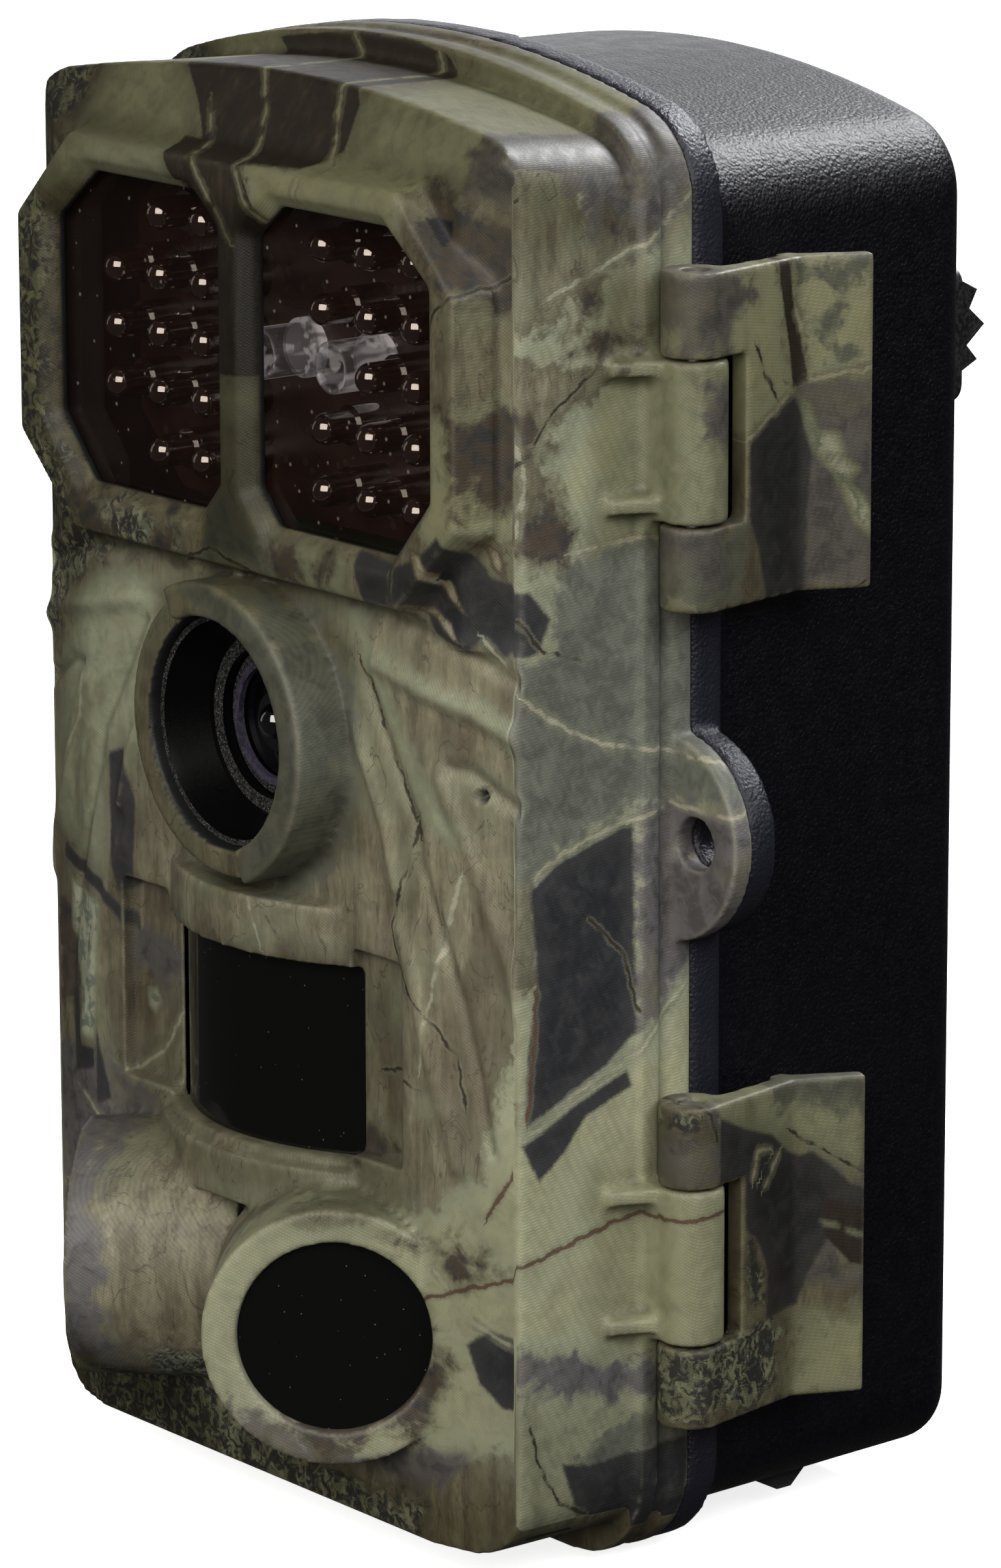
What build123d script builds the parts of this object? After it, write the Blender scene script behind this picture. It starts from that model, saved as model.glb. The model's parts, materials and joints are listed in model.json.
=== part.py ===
"""Trail camera: hinged two-half weatherproof case with latches, infrared flash, lens, motion sensors,
inside control panel, battery compartment, tripod thread and rear tree bracket.

Millimetres. X to the right seen from the front, Y from the front to the back, Z up.
The origin is the mouth of the tripod thread in the bottom of the rear case.
"""

import math
import os

from build123d import *

os.makedirs("parts", exist_ok=True)

# ---- driving dimensions ---------------------------------------------------------------------------
SEAM = 17.0  # the two halves meet this far in front of the tripod thread
FLANGE_HALF = 37.4  # half width of the seam flange
FLANGE_LOW = -3.8
FLANGE_TOP = 140.3
ARCH_DROP = 6.2  # how much lower the arched top is at the sides
REAR_BROW_DROP = 5.2  # the same for the front half, next to the flange
BROW_DROP = 3.3  # and at its front face
BODY_HALF = 37.0
BODY_TOP = 137.6
BODY_LOW = 0.3
FRONT_DEPTH = 22.7  # seam to the flat front face
WALL = 2.2
REAR_DEPTH = 36.2  # seam to the flat back
REAR_HALF = 36.8
REAR_TOP = 137.0
STRIP = 3.5  # width of the black flange strip
BEZEL_FRONT = 25.6
HOOD_Z = 75.4
HOOD_R = 14.2
HOOD_FRONT = 26.8
VISOR_FRONT = 28.9
PIR_R = 23.0  # radius of the curved middle sensor window
PIR_AXIS = 2.4  # its axis, forward of the seam
PIR_LOW = 35.5
PIR_HIGH = 54.4
PIR_HALF = 14.4
BOSS_X = 19.8
BOSS_FWD = 29.2
BOSS_Z = 20.4
BOSS_R = 12.7
BOSS_ANGLE = 47.0  # side sensors look this far out from straight ahead
LENS_R = 9.35
LATCH_X = 40.75
LATCH_FWD = 2.8
KNUCKLE_R = 3.15
PIN_R = 1.25
RUN_GAP = 0.05  # running clearance of shafts
LATCH_Z = (106.6, 27.8)  # heights of the two latches
LATCH_TALL = 31.6
LATCH_MID = 15.2
HINGE_X = -40.7
HINGE_R = 3.0
LUG_Z = 68.2
LUG_R = 10.0
LUG_X = 36.2
EYE_X = 40.4
EYE_R = 2.55
BRACKET_X = 25.4
BRACKET_Z = 110.4
BRACKET_SCREWS = [(-12.0, 110.4), (12.0, 110.4)]
STRAP_R = 1.9
PANEL_SCREWS = [(-31.5, 16), (31.5, 16), (-31.5, 88), (31.5, 88), (-26.5, 128.0), (26.5, 128.0)]
INSERT_R = 4.6
THREAD_R = 3.175
PLUG_X = 26.0
PLUG_Y = 18.0


def fwd(distance):
    """Upright plane this far in front of the seam, facing forward; its own axes are X and Z."""
    return Plane.XZ.offset(SEAM + distance)


def yy(behind):
    """Y of a place this far behind the seam."""
    return behind - SEAM


def arched(half, low, mid, r_low, r_top, drop=ARCH_DROP):
    """Case outline: straight sides, rounded corners and a gently arched top."""
    side = mid - drop * (half / FLANGE_HALF) ** 2
    with BuildLine(mode=Mode.PRIVATE) as line:
        Line((-half, side), (-half, low))
        Line((-half, low), (half, low))
        Line((half, low), (half, side))
        ThreePointArc((half, side), (0, mid), (-half, side))
    make_face(line.edges())
    middle = (low + side) / 2
    lower = [v for v in vertices() if v.Y < middle]
    fillet(lower, r_low)
    upper = [v for v in vertices() if v.Y > middle and abs(abs(v.X) - half) < 0.01]
    fillet(upper, r_top)


def slab(near, far, half, low, mid, r_low, r_top, mode=Mode.ADD):
    """Arched slab between two distances in front of the seam."""
    with BuildSketch(fwd(near), mode=Mode.PRIVATE) as sketch:
        arched(half, low, mid, r_low, r_top)
    extrude(sketch.sketch, amount=far - near, mode=mode)


def box(x0, x1, y0, y1, z0, z1, mode=Mode.ADD):
    """Box from its corners; the Y values are counted back from the seam."""
    with Locations(((x0 + x1) / 2, yy((y0 + y1) / 2), (z0 + z1) / 2)):
        Box(abs(x1 - x0), abs(y1 - y0), abs(z1 - z0), mode=mode)


def tube_y(x, z, r, y0, y1, mode=Mode.ADD):
    """Cylinder along Y between two distances behind the seam."""
    with BuildSketch(Plane.XZ.offset(SEAM - y0), mode=Mode.PRIVATE) as sketch:
        with Locations((x, z)):
            Circle(r)
    extrude(sketch.sketch, amount=y0 - y1, mode=mode)


def rod_z(x, y, r, z0, z1, mode=Mode.ADD):
    """Cylinder along Z; y is counted back from the seam."""
    with BuildSketch(Plane.XY.offset(z0), mode=Mode.PRIVATE) as sketch:
        with Locations((x, yy(y))):
            Circle(r)
    extrude(sketch.sketch, amount=z1 - z0, mode=mode)


def rod_x(y, z, r, x0, x1, mode=Mode.ADD):
    """Cylinder along X; y is counted back from the seam."""
    with BuildSketch(Plane.YZ.offset(x0), mode=Mode.PRIVATE) as sketch:
        with Locations((yy(y), z)):
            Circle(r)
    extrude(sketch.sketch, amount=x1 - x0, mode=mode)


def plan(points, z0, z1, mode=Mode.ADD):
    """Prism of a plan-view outline; the second number of each point is behind the seam."""
    with BuildSketch(Plane.XY.offset(z0), mode=Mode.PRIVATE) as sketch:
        with BuildLine():
            Polyline([(x, yy(y)) for x, y in points], close=True)
        make_face()
    extrude(sketch.sketch, amount=z1 - z0, mode=mode)


def octagon(half_x, low, high, cut):
    """Rectangle with its four corners cut at 45 degrees."""
    with BuildLine(mode=Mode.PRIVATE) as line:
        Polyline(
            (-half_x, low + cut),
            (-half_x, high - cut),
            (-half_x + cut, high),
            (half_x - cut, high),
            (half_x, high - cut),
            (half_x, low + cut),
            (half_x - cut, low),
            (-half_x + cut, low),
            close=True,
        )
    make_face(line.edges())


def flash_opening(side, grow):
    """Outline of one flash window: big cut on its outer corners, small ones beside the middle bar."""
    g = grow
    outer = 28.9 + g
    inner = 2.75 - g
    low = 95.8 - g
    high = 126.2 + g
    with BuildLine(mode=Mode.PRIVATE) as line:
        Polyline(
            (side * outer, 101.9 - 0.4 * g),
            (side * outer, 121.2 + 0.4 * g),
            (side * (22.6 + 0.4 * g), high),
            (side * (6.7 - 0.4 * g), high),
            (side * inner, 123.0 + 0.4 * g),
            (side * inner, 99.0 - 0.4 * g),
            (side * (5.6 - 0.4 * g), low),
            (side * (23.6 + 0.4 * g), low),
            close=True,
        )
    make_face(line.edges())


def boss_plane(side, inward):
    """Plane across one side sensor's axis, this far in from its lens, facing out."""
    a = math.radians(BOSS_ANGLE)
    out = (side * math.sin(a), -math.cos(a), 0)
    origin = (side * BOSS_X - out[0] * inward, yy(-BOSS_FWD) - out[1] * inward, BOSS_Z)
    return Plane(origin=origin, x_dir=(math.cos(a), side * math.sin(a), 0), z_dir=out)


def boss_disc(side, inward, r, deep, mode=Mode.ADD):
    """Disc on a side sensor's axis, from this far in, going further in."""
    with BuildSketch(boss_plane(side, inward), mode=Mode.PRIVATE) as sketch:
        Circle(r)
    extrude(sketch.sketch, amount=-deep, mode=mode)


def pir_prism(r, half, low, high, mode=Mode.ADD):
    """Solid behind an upright curved front, for the middle sensor window and its lips."""
    y_side = -PIR_AXIS - math.sqrt(r * r - half * half)
    with BuildSketch(Plane.XY.offset(low), mode=Mode.PRIVATE) as sketch:
        with BuildLine():
            Line((-half, yy(-16)), (half, yy(-16)))
            Line((half, yy(-16)), (half, yy(y_side)))
            ThreePointArc((half, yy(y_side)), (0, yy(-PIR_AXIS - r)), (-half, yy(y_side)))
            Line((-half, yy(y_side)), (-half, yy(-16)))
        make_face()
    extrude(sketch.sketch, amount=high - low, mode=mode)


# ---- front half -----------------------------------------------------------------------------------
with BuildPart() as front_shell:
    # seam flange: lip, land, raised bead
    slab(0, 2.3, 37.5, FLANGE_LOW, FLANGE_TOP, 10, 9)
    slab(2.3, 4.2, 37.1, FLANGE_LOW + 0.4, FLANGE_TOP - 0.4, 9.6, 8.6)
    slab(4.2, 6.3, 37.7, FLANGE_LOW + 0.2, FLANGE_TOP - 0.2, 10, 9)
    # main body with a little draft
    with BuildSketch(fwd(6.2)):
        arched(BODY_HALF, BODY_LOW, BODY_TOP, 6, 7, REAR_BROW_DROP)
    with BuildSketch(fwd(FRONT_DEPTH)):
        arched(BODY_HALF - 0.4, BODY_LOW, BODY_TOP + 0.1, 6, 4.5, BROW_DROP)
    loft()
    # front face falls away to the side corners below the flash housing
    for s in (-1, 1):
        plan([(s * 26.5, -22.75), (s * 36.6, -20.2), (s * 40, -20.2), (s * 40, -23.5), (s * 26.5, -23.5)], -8, 88,
             mode=Mode.SUBTRACT)
        plan([(s * 31.0, -22.75), (s * 36.6, -19.9), (s * 40, -19.9), (s * 40, -23.5), (s * 31.0, -23.5)], 87.9, 145,
             mode=Mode.SUBTRACT)
    # sloping brow
    with BuildSketch(Plane.YZ.offset(-50)):
        with BuildLine():
            Polyline((yy(-18.4), 141), (yy(-18.4), 137.4), (yy(-22.8), 129.7), (yy(-24), 129.7), (yy(-24), 141),
                     close=True)
        make_face()
    extrude(amount=100, mode=Mode.SUBTRACT)
    # flash housing
    with BuildSketch(fwd(FRONT_DEPTH - 1.0)):
        octagon(34.9, 90.0, 130.8, 9.2)
    extrude(amount=BEZEL_FRONT - FRONT_DEPTH + 1.0, taper=18)
    # lens hood and its raised half ring
    tube_y(0, HOOD_Z, HOOD_R, -FRONT_DEPTH + 1.5, -HOOD_FRONT)
    with BuildSketch(fwd(FRONT_DEPTH - 1.0)):
        with Locations((0, HOOD_Z)):
            Circle(HOOD_R + 0.5)
        with BuildLine():
            Polyline((0, HOOD_Z), (-12, HOOD_Z + 24), (-40, HOOD_Z + 24), (-40, HOOD_Z - 40), (16, HOOD_Z - 40),
                     close=True)
        make_face(mode=Mode.SUBTRACT)
    extrude(amount=VISOR_FRONT - FRONT_DEPTH + 1.0)
    # lips above and below the middle sensor window
    pir_prism(PIR_R + 2.7, 17.6, 29.6, 34.4)
    pir_prism(PIR_R + 1.6, 17.0, 34.0, 60.0)
    # side sensor bosses
    for s in (-1, 1):
        boss_disc(s, 0, BOSS_R, 17)
    # padlock lug
    with BuildSketch(fwd(0)):
        with Locations((LUG_X, LUG_Z)):
            Circle(LUG_R)
    extrude(amount=2.3)
    # latch knuckles with their two forward webs
    for zc in LATCH_Z:
        rod_z(LATCH_X, -LATCH_FWD, KNUCKLE_R, zc - LATCH_MID / 2, zc + LATCH_MID / 2)
        box(36.5, 39.4, -5.9, -0.2, zc - LATCH_MID / 2, zc + LATCH_MID / 2)
        for ze in (zc - 6.6, zc + LATCH_MID / 2 - 1.5):
            plan([(36.3, -10.8), (38.0, -10.2), (39.6, -6.6), (39.6, -1), (36.3, -1)], ze, ze + 1.5)
    # hinge knuckles
    for z0, z1 in ((14.2, 27.8), (56.2, 83.8), (112.2, 125.8)):
        rod_z(HINGE_X, 0, HINGE_R, z0, z1)
        box(HINGE_X, -36.5, -HINGE_R, -0.25, z0, z1)
    # inside hollow: wide near the seam, narrower towards the front
    slab(-3.2, 17.8, 34.8, WALL, BODY_TOP - 2.4, 5, 5, mode=Mode.SUBTRACT)
    slab(17.0, 20.6, 26.0, 4.0, 128.0, 4, 4, mode=Mode.SUBTRACT)
    # room for the hinge knuckles of the other half
    for z0, z1 in ((28.0, 56.0), (84.0, 112.0)):
        rod_z(HINGE_X, 0, HINGE_R + 0.25, z0 - 0.1, z1 + 0.1, mode=Mode.SUBTRACT)
    # flash openings: bevelled mouth, then a straight well
    for s in (-1, 1):
        with BuildSketch(fwd(24.1)):
            flash_opening(s, 0.0)
        with BuildSketch(fwd(BEZEL_FRONT + 0.01)):
            flash_opening(s, 1.55 if s > 0 else 1.55)
        loft(mode=Mode.SUBTRACT)
        with BuildSketch(fwd(16)):
            flash_opening(s, 0.0)
        extrude(amount=8.2, mode=Mode.SUBTRACT)
        # rebate that seats the window from behind
        with BuildSketch(fwd(16)):
            flash_opening(s, 1.0)
        extrude(amount=6.95, mode=Mode.SUBTRACT)
    # the middle bar is only a front strip
    box(-3.2, 3.2, -22.95, -15.9, 97.5, 124.5, mode=Mode.SUBTRACT)
    # lens opening
    tube_y(0, HOOD_Z, 11.3, -15, -30, mode=Mode.SUBTRACT)
    # middle sensor opening, shallow pockets beside it
    box(-PIR_HALF, PIR_HALF, -32, -15, PIR_LOW, PIR_HIGH, mode=Mode.SUBTRACT)
    for s in (-1, 1):
        box(s * PIR_HALF, s * 22.0, -30, -21.0, 36.2, 56.4, mode=Mode.SUBTRACT)
    # side sensor wells
    for s in (-1, 1):
        boss_disc(s, -1, LENS_R, 2.6, mode=Mode.SUBTRACT)
        boss_disc(s, 0, 8.0, 20, mode=Mode.SUBTRACT)
    # padlock eye, latch pin and hinge pin bores
    tube_y(EYE_X, LUG_Z, EYE_R, 5, -5, mode=Mode.SUBTRACT)
    for zc in LATCH_Z:
        rod_z(LATCH_X, -LATCH_FWD, PIN_R + RUN_GAP, zc - 20, zc + 20, mode=Mode.SUBTRACT)
    for z0, z1 in ((13, 29), (55, 85), (111, 127)):
        rod_z(HINGE_X, 0, PIN_R + RUN_GAP, z0, z1, mode=Mode.SUBTRACT)
    # microphone hole
    tube_y(32.2, 74.4, 0.5, -15, -24, mode=Mode.SUBTRACT)
    # posts for the panel screws
    for x, z in PANEL_SCREWS:
        tube_y(x, z, 2.6, -3.2, -18.4)
        tube_y(x, z, 1.1, -3.1, -10, mode=Mode.SUBTRACT)

# ---- windows and flash ----------------------------------------------------------------------------
with BuildPart() as window_left:
    with BuildSketch(fwd(22.1)):
        flash_opening(-1, 0.9)
    extrude(amount=0.8)

with BuildPart() as window_right:
    with BuildSketch(fwd(22.1)):
        flash_opening(1, 0.9)
    extrude(amount=0.8)

LED_ROWS = (99.2, 105.1, 110.8, 116.4, 122.4)
LED_MID = -0.75  # the block of lamps sits a little left of centre
LED_R = 1.55
BOARD_Y = -13.9
LED_PLACES = []
for z in LED_ROWS:
    for x in (-16.15, -9.3, 9.3, 16.15, 23.05):
        if (x, z) != (9.3, 110.8):
            LED_PLACES.append((LED_MID + x, z))
for z in LED_ROWS[1:4]:
    LED_PLACES.append((LED_MID - 23.05, z))
CLEAR_PLACES = [(-2.3, 110.7), (8.5, 110.8)]


def lamp(x, z):
    """3 mm lamp on its spacer: collar, body and dome."""
    tube_y(x, z, 1.95, BOARD_Y - 0.02, BOARD_Y - 3.8)
    tube_y(x, z, LED_R, BOARD_Y - 3.7, BOARD_Y - 6.55)
    with Locations((x, yy(BOARD_Y - 6.55), z)):
        Sphere(LED_R)


def clear_lamp(x, z):
    """5 mm clear lamp: rim, body and a hollowed flat front."""
    tube_y(x, z, 2.9, BOARD_Y - 0.02, BOARD_Y - 1.0)
    tube_y(x, z, 2.5, BOARD_Y - 0.9, BOARD_Y - 5.9)
    with BuildSketch(fwd(-BOARD_Y + 4.6), mode=Mode.PRIVATE) as narrow:
        with Locations((x, z)):
            Circle(0.3)
    with BuildSketch(fwd(-BOARD_Y + 5.91), mode=Mode.PRIVATE) as wide:
        with Locations((x, z)):
            Circle(2.2)
    loft([narrow.sketch, wide.sketch], mode=Mode.SUBTRACT)


with BuildPart() as ir_lamps:
    for x, z in LED_PLACES:
        lamp(x, z)

with BuildPart() as clear_lamps:
    for x, z in CLEAR_PLACES:
        clear_lamp(x, z)

with BuildPart() as flash_board:
    with BuildSketch(fwd(-BOARD_Y - 1.6)):
        octagon(29.5, 94.0, 128.0, 7)
    extrude(amount=1.6)

# ---- lens -----------------------------------------------------------------------------------------
with BuildPart() as lens_baffle:
    tube_y(0, HOOD_Z, 11.2, -17.5, -25.6)
    with BuildSketch(fwd(25.61)):
        with Locations((0, HOOD_Z)):
            Circle(10.6)
    with BuildSketch(fwd(21.4)):
        with Locations((0, HOOD_Z)):
            Circle(8.9)
    loft(mode=Mode.SUBTRACT)
    tube_y(0, HOOD_Z, 8.9, -20.9, -21.5, mode=Mode.SUBTRACT)
    tube_y(0, HOOD_Z, 7.5, -17, -22, mode=Mode.SUBTRACT)
    with BuildSketch(fwd(15.9)):
        with Locations((0, HOOD_Z)):
            Circle(13.0)
            Circle(7.5, mode=Mode.SUBTRACT)
    extrude(amount=1.6)

with BuildPart() as lens_barrel:
    tube_y(0, HOOD_Z, 7.35, -11.4, -19.8)
    tube_y(0, HOOD_Z, 5.7, -18.6, -20, mode=Mode.SUBTRACT)
    tube_y(0, HOOD_Z, 2.0, -11, -20, mode=Mode.SUBTRACT)

with BuildPart() as lens_ring:
    tube_y(0, HOOD_Z, 6.2, -19.85, -20.5)
    tube_y(0, HOOD_Z, 5.5, -19.8, -20.6, mode=Mode.SUBTRACT)

with BuildPart() as lens_glass:
    tube_y(0, HOOD_Z, 5.6, -18.65, -19.6)

with BuildPart() as lens_front_element:
    tube_y(0, HOOD_Z, 2.9, -19.65, -20.15)
    with Locations((0, yy(-20.0), HOOD_Z)):
        Sphere(1.9)
    box(-3, 3, -19.65, -17.0, HOOD_Z - 3, HOOD_Z + 3, mode=Mode.SUBTRACT)

with BuildPart() as image_sensor:
    box(-4.5, 4.5, -11.3, -10.1, HOOD_Z - 4.5, HOOD_Z + 4.5)

with BuildPart() as sensor_board:
    box(-11, 11, -10.0, -8.6, HOOD_Z - 11, HOOD_Z + 11)

# ---- motion sensors -------------------------------------------------------------------------------
with BuildPart() as pir_window:
    pir_prism(PIR_R, PIR_HALF - 0.1, PIR_LOW + 0.1, PIR_HIGH - 0.1)
    pir_prism(PIR_R - 1.4, PIR_HALF - 1.5, PIR_LOW + 1.5, PIR_HIGH - 1.5, mode=Mode.SUBTRACT)
    box(-20, 20, -19.0, -10, 20, 70, mode=Mode.SUBTRACT)

with BuildPart() as side_pir_left:
    boss_disc(-1, 0.9, LENS_R - 0.1, 0.68)

with BuildPart() as side_pir_right:
    boss_disc(1, 0.9, LENS_R - 0.1, 0.68)

with BuildPart() as pir_sensors:
    tube_y(0, 45, 4.6, -7.2, -11.6)
    tube_y(0, 45, 5.0, -6.4, -7.3)
    for s in (-1, 1):
        boss_disc(s, 11.0, 4.6, 4.2)
        boss_disc(s, 15.0, 5.0, 0.8)

# ---- electronics and inside panel -----------------------------------------------------------------
with BuildPart() as main_board:
    box(-27, 27, -6.2, -4.6, 42, 125)

with BuildPart() as processor:
    box(-20, -8, -7.8, -6.25, 96, 108)
    box(8, 20, -7.6, -6.25, 98, 108)

with BuildPart() as microphone:
    tube_y(31.6, 74.4, 2.9, -13.5, -17.5)

with BuildPart() as card_socket:
    box(-14.5, 14.5, -7.2, -4.0, 11, 39)
    box(-12.2, 12.2, -6.7, -4.5, 9, 38, mode=Mode.SUBTRACT)

with BuildPart() as memory_card:
    with BuildSketch(fwd(4.6)):
        with BuildLine():
            Polyline((-12, 6.5), (12, 6.5), (12, 34.0), (8.5, 37.6), (-12, 37.6), close=True)
        make_face()
    extrude(amount=2.0)

with BuildPart() as usb_socket:
    box(19.2, 27.2, -8.3, -4.4, 30, 39.2)
    box(19.8, 26.6, -7.7, -5.0, 29, 37, mode=Mode.SUBTRACT)

BUTTONS = {
    "button_up": (0.0, 76.0),
    "button_down": (0.0, 52.0),
    "button_left": (-12.0, 64.0),
    "button_right": (12.0, 64.0),
    "button_ok": (0.0, 64.0),
    "button_menu": (-24.0, 76.0),
    "button_replay": (24.0, 76.0),
}
BUTTON_R = 4.2

with BuildPart() as inner_panel:
    slab(1.0, 3.0, 34.4, 2.8, BODY_TOP - 3.0, 4.6, 4.6)
    # screen opening, buttons, switch slot, card opening and screw holes
    box(-25.2, 25.2, -4, 0, 88.2, 123.8, mode=Mode.SUBTRACT)
    for name, place in BUTTONS.items():
        tube_y(place[0], place[1], BUTTON_R + 0.2, 0, -4, mode=Mode.SUBTRACT)
    box(16, 28, -4, 0, 48.6, 52.4, mode=Mode.SUBTRACT)
    box(-13, 13, -4, 0, 2, 26, mode=Mode.SUBTRACT)
    box(18.6, 27.8, -4, 0, 26, 36, mode=Mode.SUBTRACT)
    for x, z in PANEL_SCREWS:
        tube_y(x, z, 1.6, 0, -4, mode=Mode.SUBTRACT)

with BuildPart() as screen:
    box(-25.0, 25.0, -3.9, -1.9, 88.4, 123.6)

with BuildPart() as screen_window:
    box(-25.0, 25.0, -1.85, -0.95, 88.4, 123.6)

with BuildPart() as panel_screws:
    for x, z in PANEL_SCREWS:
        tube_y(x, z, 2.6, 0.3, -0.95)
        tube_y(x, z, 1.0, -0.9, -8.5)
        box(x - 2.0, x + 2.0, -0.2, 0.4, z - 0.35, z + 0.35, mode=Mode.SUBTRACT)
        box(x - 0.35, x + 0.35, -0.2, 0.4, z - 2.0, z + 2.0, mode=Mode.SUBTRACT)


def button_cap(x, z):
    """Round push cap with a retaining rim behind the panel."""
    tube_y(x, z, BUTTON_R, -0.1, -3.4)
    tube_y(x, z, BUTTON_R + 0.9, -3.1, -3.8)


with BuildPart() as button_up:
    button_cap(*BUTTONS["button_up"])
with BuildPart() as button_down:
    button_cap(*BUTTONS["button_down"])
with BuildPart() as button_left:
    button_cap(*BUTTONS["button_left"])
with BuildPart() as button_right:
    button_cap(*BUTTONS["button_right"])
with BuildPart() as button_ok:
    button_cap(*BUTTONS["button_ok"])
with BuildPart() as button_menu:
    button_cap(*BUTTONS["button_menu"])
with BuildPart() as button_replay:
    button_cap(*BUTTONS["button_replay"])

with BuildPart() as button_domes:
    for name, place in BUTTONS.items():
        tube_y(place[0], place[1], 2.4, -4.25, -4.58)

with BuildPart() as mode_switch:
    box(18.4, 21.6, -3.2, 0.6, 48.9, 52.1)
    box(16.6, 23.4, -4.0, -3.15, 47.0, 54.0)

# ---- latches --------------------------------------------------------------------------------------


def latch_lever(zc):
    """Lever: two pivot knuckles, a bar with a window beside the fixed knuckle, a flared finger tab."""
    z0 = zc - LATCH_TALL / 2
    z1 = zc + LATCH_TALL / 2
    half = LATCH_MID / 2 + 0.25
    rod_z(LATCH_X, -LATCH_FWD, KNUCKLE_R, z0, z1)
    plan(
        [
            (43.6, -1.5),
            (41.7, 9.3),
            (44.8, 15.6),
            (43.2, 16.3),
            (39.8, 10.4),
            (38.9, 9.9),
            (38.9, 8.4),
            (39.9, 8.0),
            (40.6, 1.9),
            (40.7, -2.8),
        ],
        z0,
        z1,
    )
    box(30, 50, -20, 1.7, zc - half, zc + half, mode=Mode.SUBTRACT)
    rod_z(LATCH_X, -LATCH_FWD, PIN_R + RUN_GAP, z0 - 1, z1 + 1, mode=Mode.SUBTRACT)
    rod_z(LATCH_X, -LATCH_FWD, KNUCKLE_R + 0.3, zc - half, zc + half, mode=Mode.SUBTRACT)


with BuildPart() as latch_lever_upper:
    latch_lever(LATCH_Z[0])
with BuildPart() as latch_lever_lower:
    latch_lever(LATCH_Z[1])

with BuildPart() as latch_pins:
    for zc in LATCH_Z:
        rod_z(LATCH_X, -LATCH_FWD, PIN_R, zc - 15.4, zc + 15.4)

# ---- rear half ------------------------------------------------------------------------------------
with BuildPart() as seal_groove:
    slab(0.5, -1.65, 36.25, 0.85, 137.95, 5.4, 5.4)
    slab(0.6, -1.75, 34.9, 2.2, 136.6, 4.2, 4.2, mode=Mode.SUBTRACT)

with BuildPart() as rear_shell:
    # flange strip and box body with draft, both facing back
    with BuildSketch(fwd(0)):
        arched(FLANGE_HALF, FLANGE_LOW, FLANGE_TOP, 10, 9)
    extrude(amount=-STRIP)
    with BuildSketch(fwd(-STRIP + 0.5)):
        arched(REAR_HALF, 0, REAR_TOP, 6, 8)
    with BuildSketch(fwd(-REAR_DEPTH)):
        arched(REAR_HALF - 0.6, 0, REAR_TOP - 0.4, 6, 8)
    loft()
    back_edges = edges().filter_by_position(Axis.Y, yy(REAR_DEPTH) - 0.05, yy(REAR_DEPTH) + 0.05)
    fillet(back_edges, 4.0)
    # catch ribs under the latch tabs
    for zc in LATCH_Z:
        plan([(36, 5.6), (38.4, 6.4), (38.4, 7.6), (36, 7.9)], zc - 12, zc + 12)
    # padlock lug, hinge knuckles
    with BuildSketch(fwd(0)):
        with Locations((LUG_X, LUG_Z)):
            Circle(LUG_R - 0.2)
    extrude(amount=-3.2)
    for z0, z1 in ((28.0, 56.0), (84.0, 112.0)):
        rod_z(HINGE_X, 0, HINGE_R, z0, z1)
        box(HINGE_X, -36.5, 0.25, HINGE_R, z0, z1)
    # inside hollow
    slab(0.01, -(REAR_DEPTH - WALL), 34.3, 2.4, REAR_TOP - 2.6, 4, 4, mode=Mode.SUBTRACT)
    # room for the hinge knuckles of the front half
    for z0, z1 in ((14.0, 28.0), (56.0, 84.0), (112.0, 126.0)):
        rod_z(HINGE_X, 0, HINGE_R + 0.25, z0 - 0.1, z1 + 0.1, mode=Mode.SUBTRACT)
    rod_z(HINGE_X, 0, PIN_R + 0.02, 26, 114, mode=Mode.SUBTRACT)
    add(seal_groove.part, mode=Mode.SUBTRACT)
    # boss for the tripod insert, and its seat
    rod_z(0, SEAM, 7.0, 1.0, 12.0)
    rod_z(0, SEAM, INSERT_R, -1, 10.0, mode=Mode.SUBTRACT)
    # hole for the power socket and its plug
    rod_z(PLUG_X, PLUG_Y, 4.2, -1, 3.5, mode=Mode.SUBTRACT)
    # padlock eye
    tube_y(EYE_X, LUG_Z, EYE_R, 5, -5, mode=Mode.SUBTRACT)
    # posts for the bracket screws
    for x, z in BRACKET_SCREWS:
        tube_y(x, z, 2.8, REAR_DEPTH - 1.0, REAR_DEPTH - 7.0)
        tube_y(x, z, 1.1, REAR_DEPTH + 1.0, REAR_DEPTH - 6.5, mode=Mode.SUBTRACT)

with BuildPart() as seal:
    slab(-0.02, -1.6, 36.2, 0.9, 137.9, 5.4, 5.4)
    slab(0.5, -2.5, 34.95, 2.15, 136.65, 4.2, 4.2, mode=Mode.SUBTRACT)

with BuildPart() as tripod_insert:
    rod_z(0, SEAM, INSERT_R - 0.02, 0.0, 9.5)
    rod_z(0, SEAM, THREAD_R, -1, 8.0, mode=Mode.SUBTRACT)

with BuildPart() as hinge_pin:
    rod_z(HINGE_X, 0, PIN_R, 13.6, 126.4)

# ---- battery compartment --------------------------------------------------------------------------
CELL_Y = (9.5, 24.7)
CELL_Z = (24.0, 39.6, 55.2, 70.8)

with BuildPart() as battery_tray:
    box(-31.0, 31.0, 1.8, 33.6, 14.6, 80.6)
    box(-28.6, 28.6, 0, 31.8, 16.6, 78.6, mode=Mode.SUBTRACT)
    for x in (-16, 16):
        box(x - 1.2, x + 1.2, 16.5, 17.7, 15.0, 80.0)

with BuildPart() as cells:
    for y in CELL_Y:
        for n, z in enumerate(CELL_Z):
            flip = 1 if n % 2 else -1
            rod_x(y, z, 6.9, -24.4, 24.4)
            rod_x(y, z, 2.7, min(flip * 24.3, flip * 25.4), max(flip * 24.3, flip * 25.4))

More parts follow.
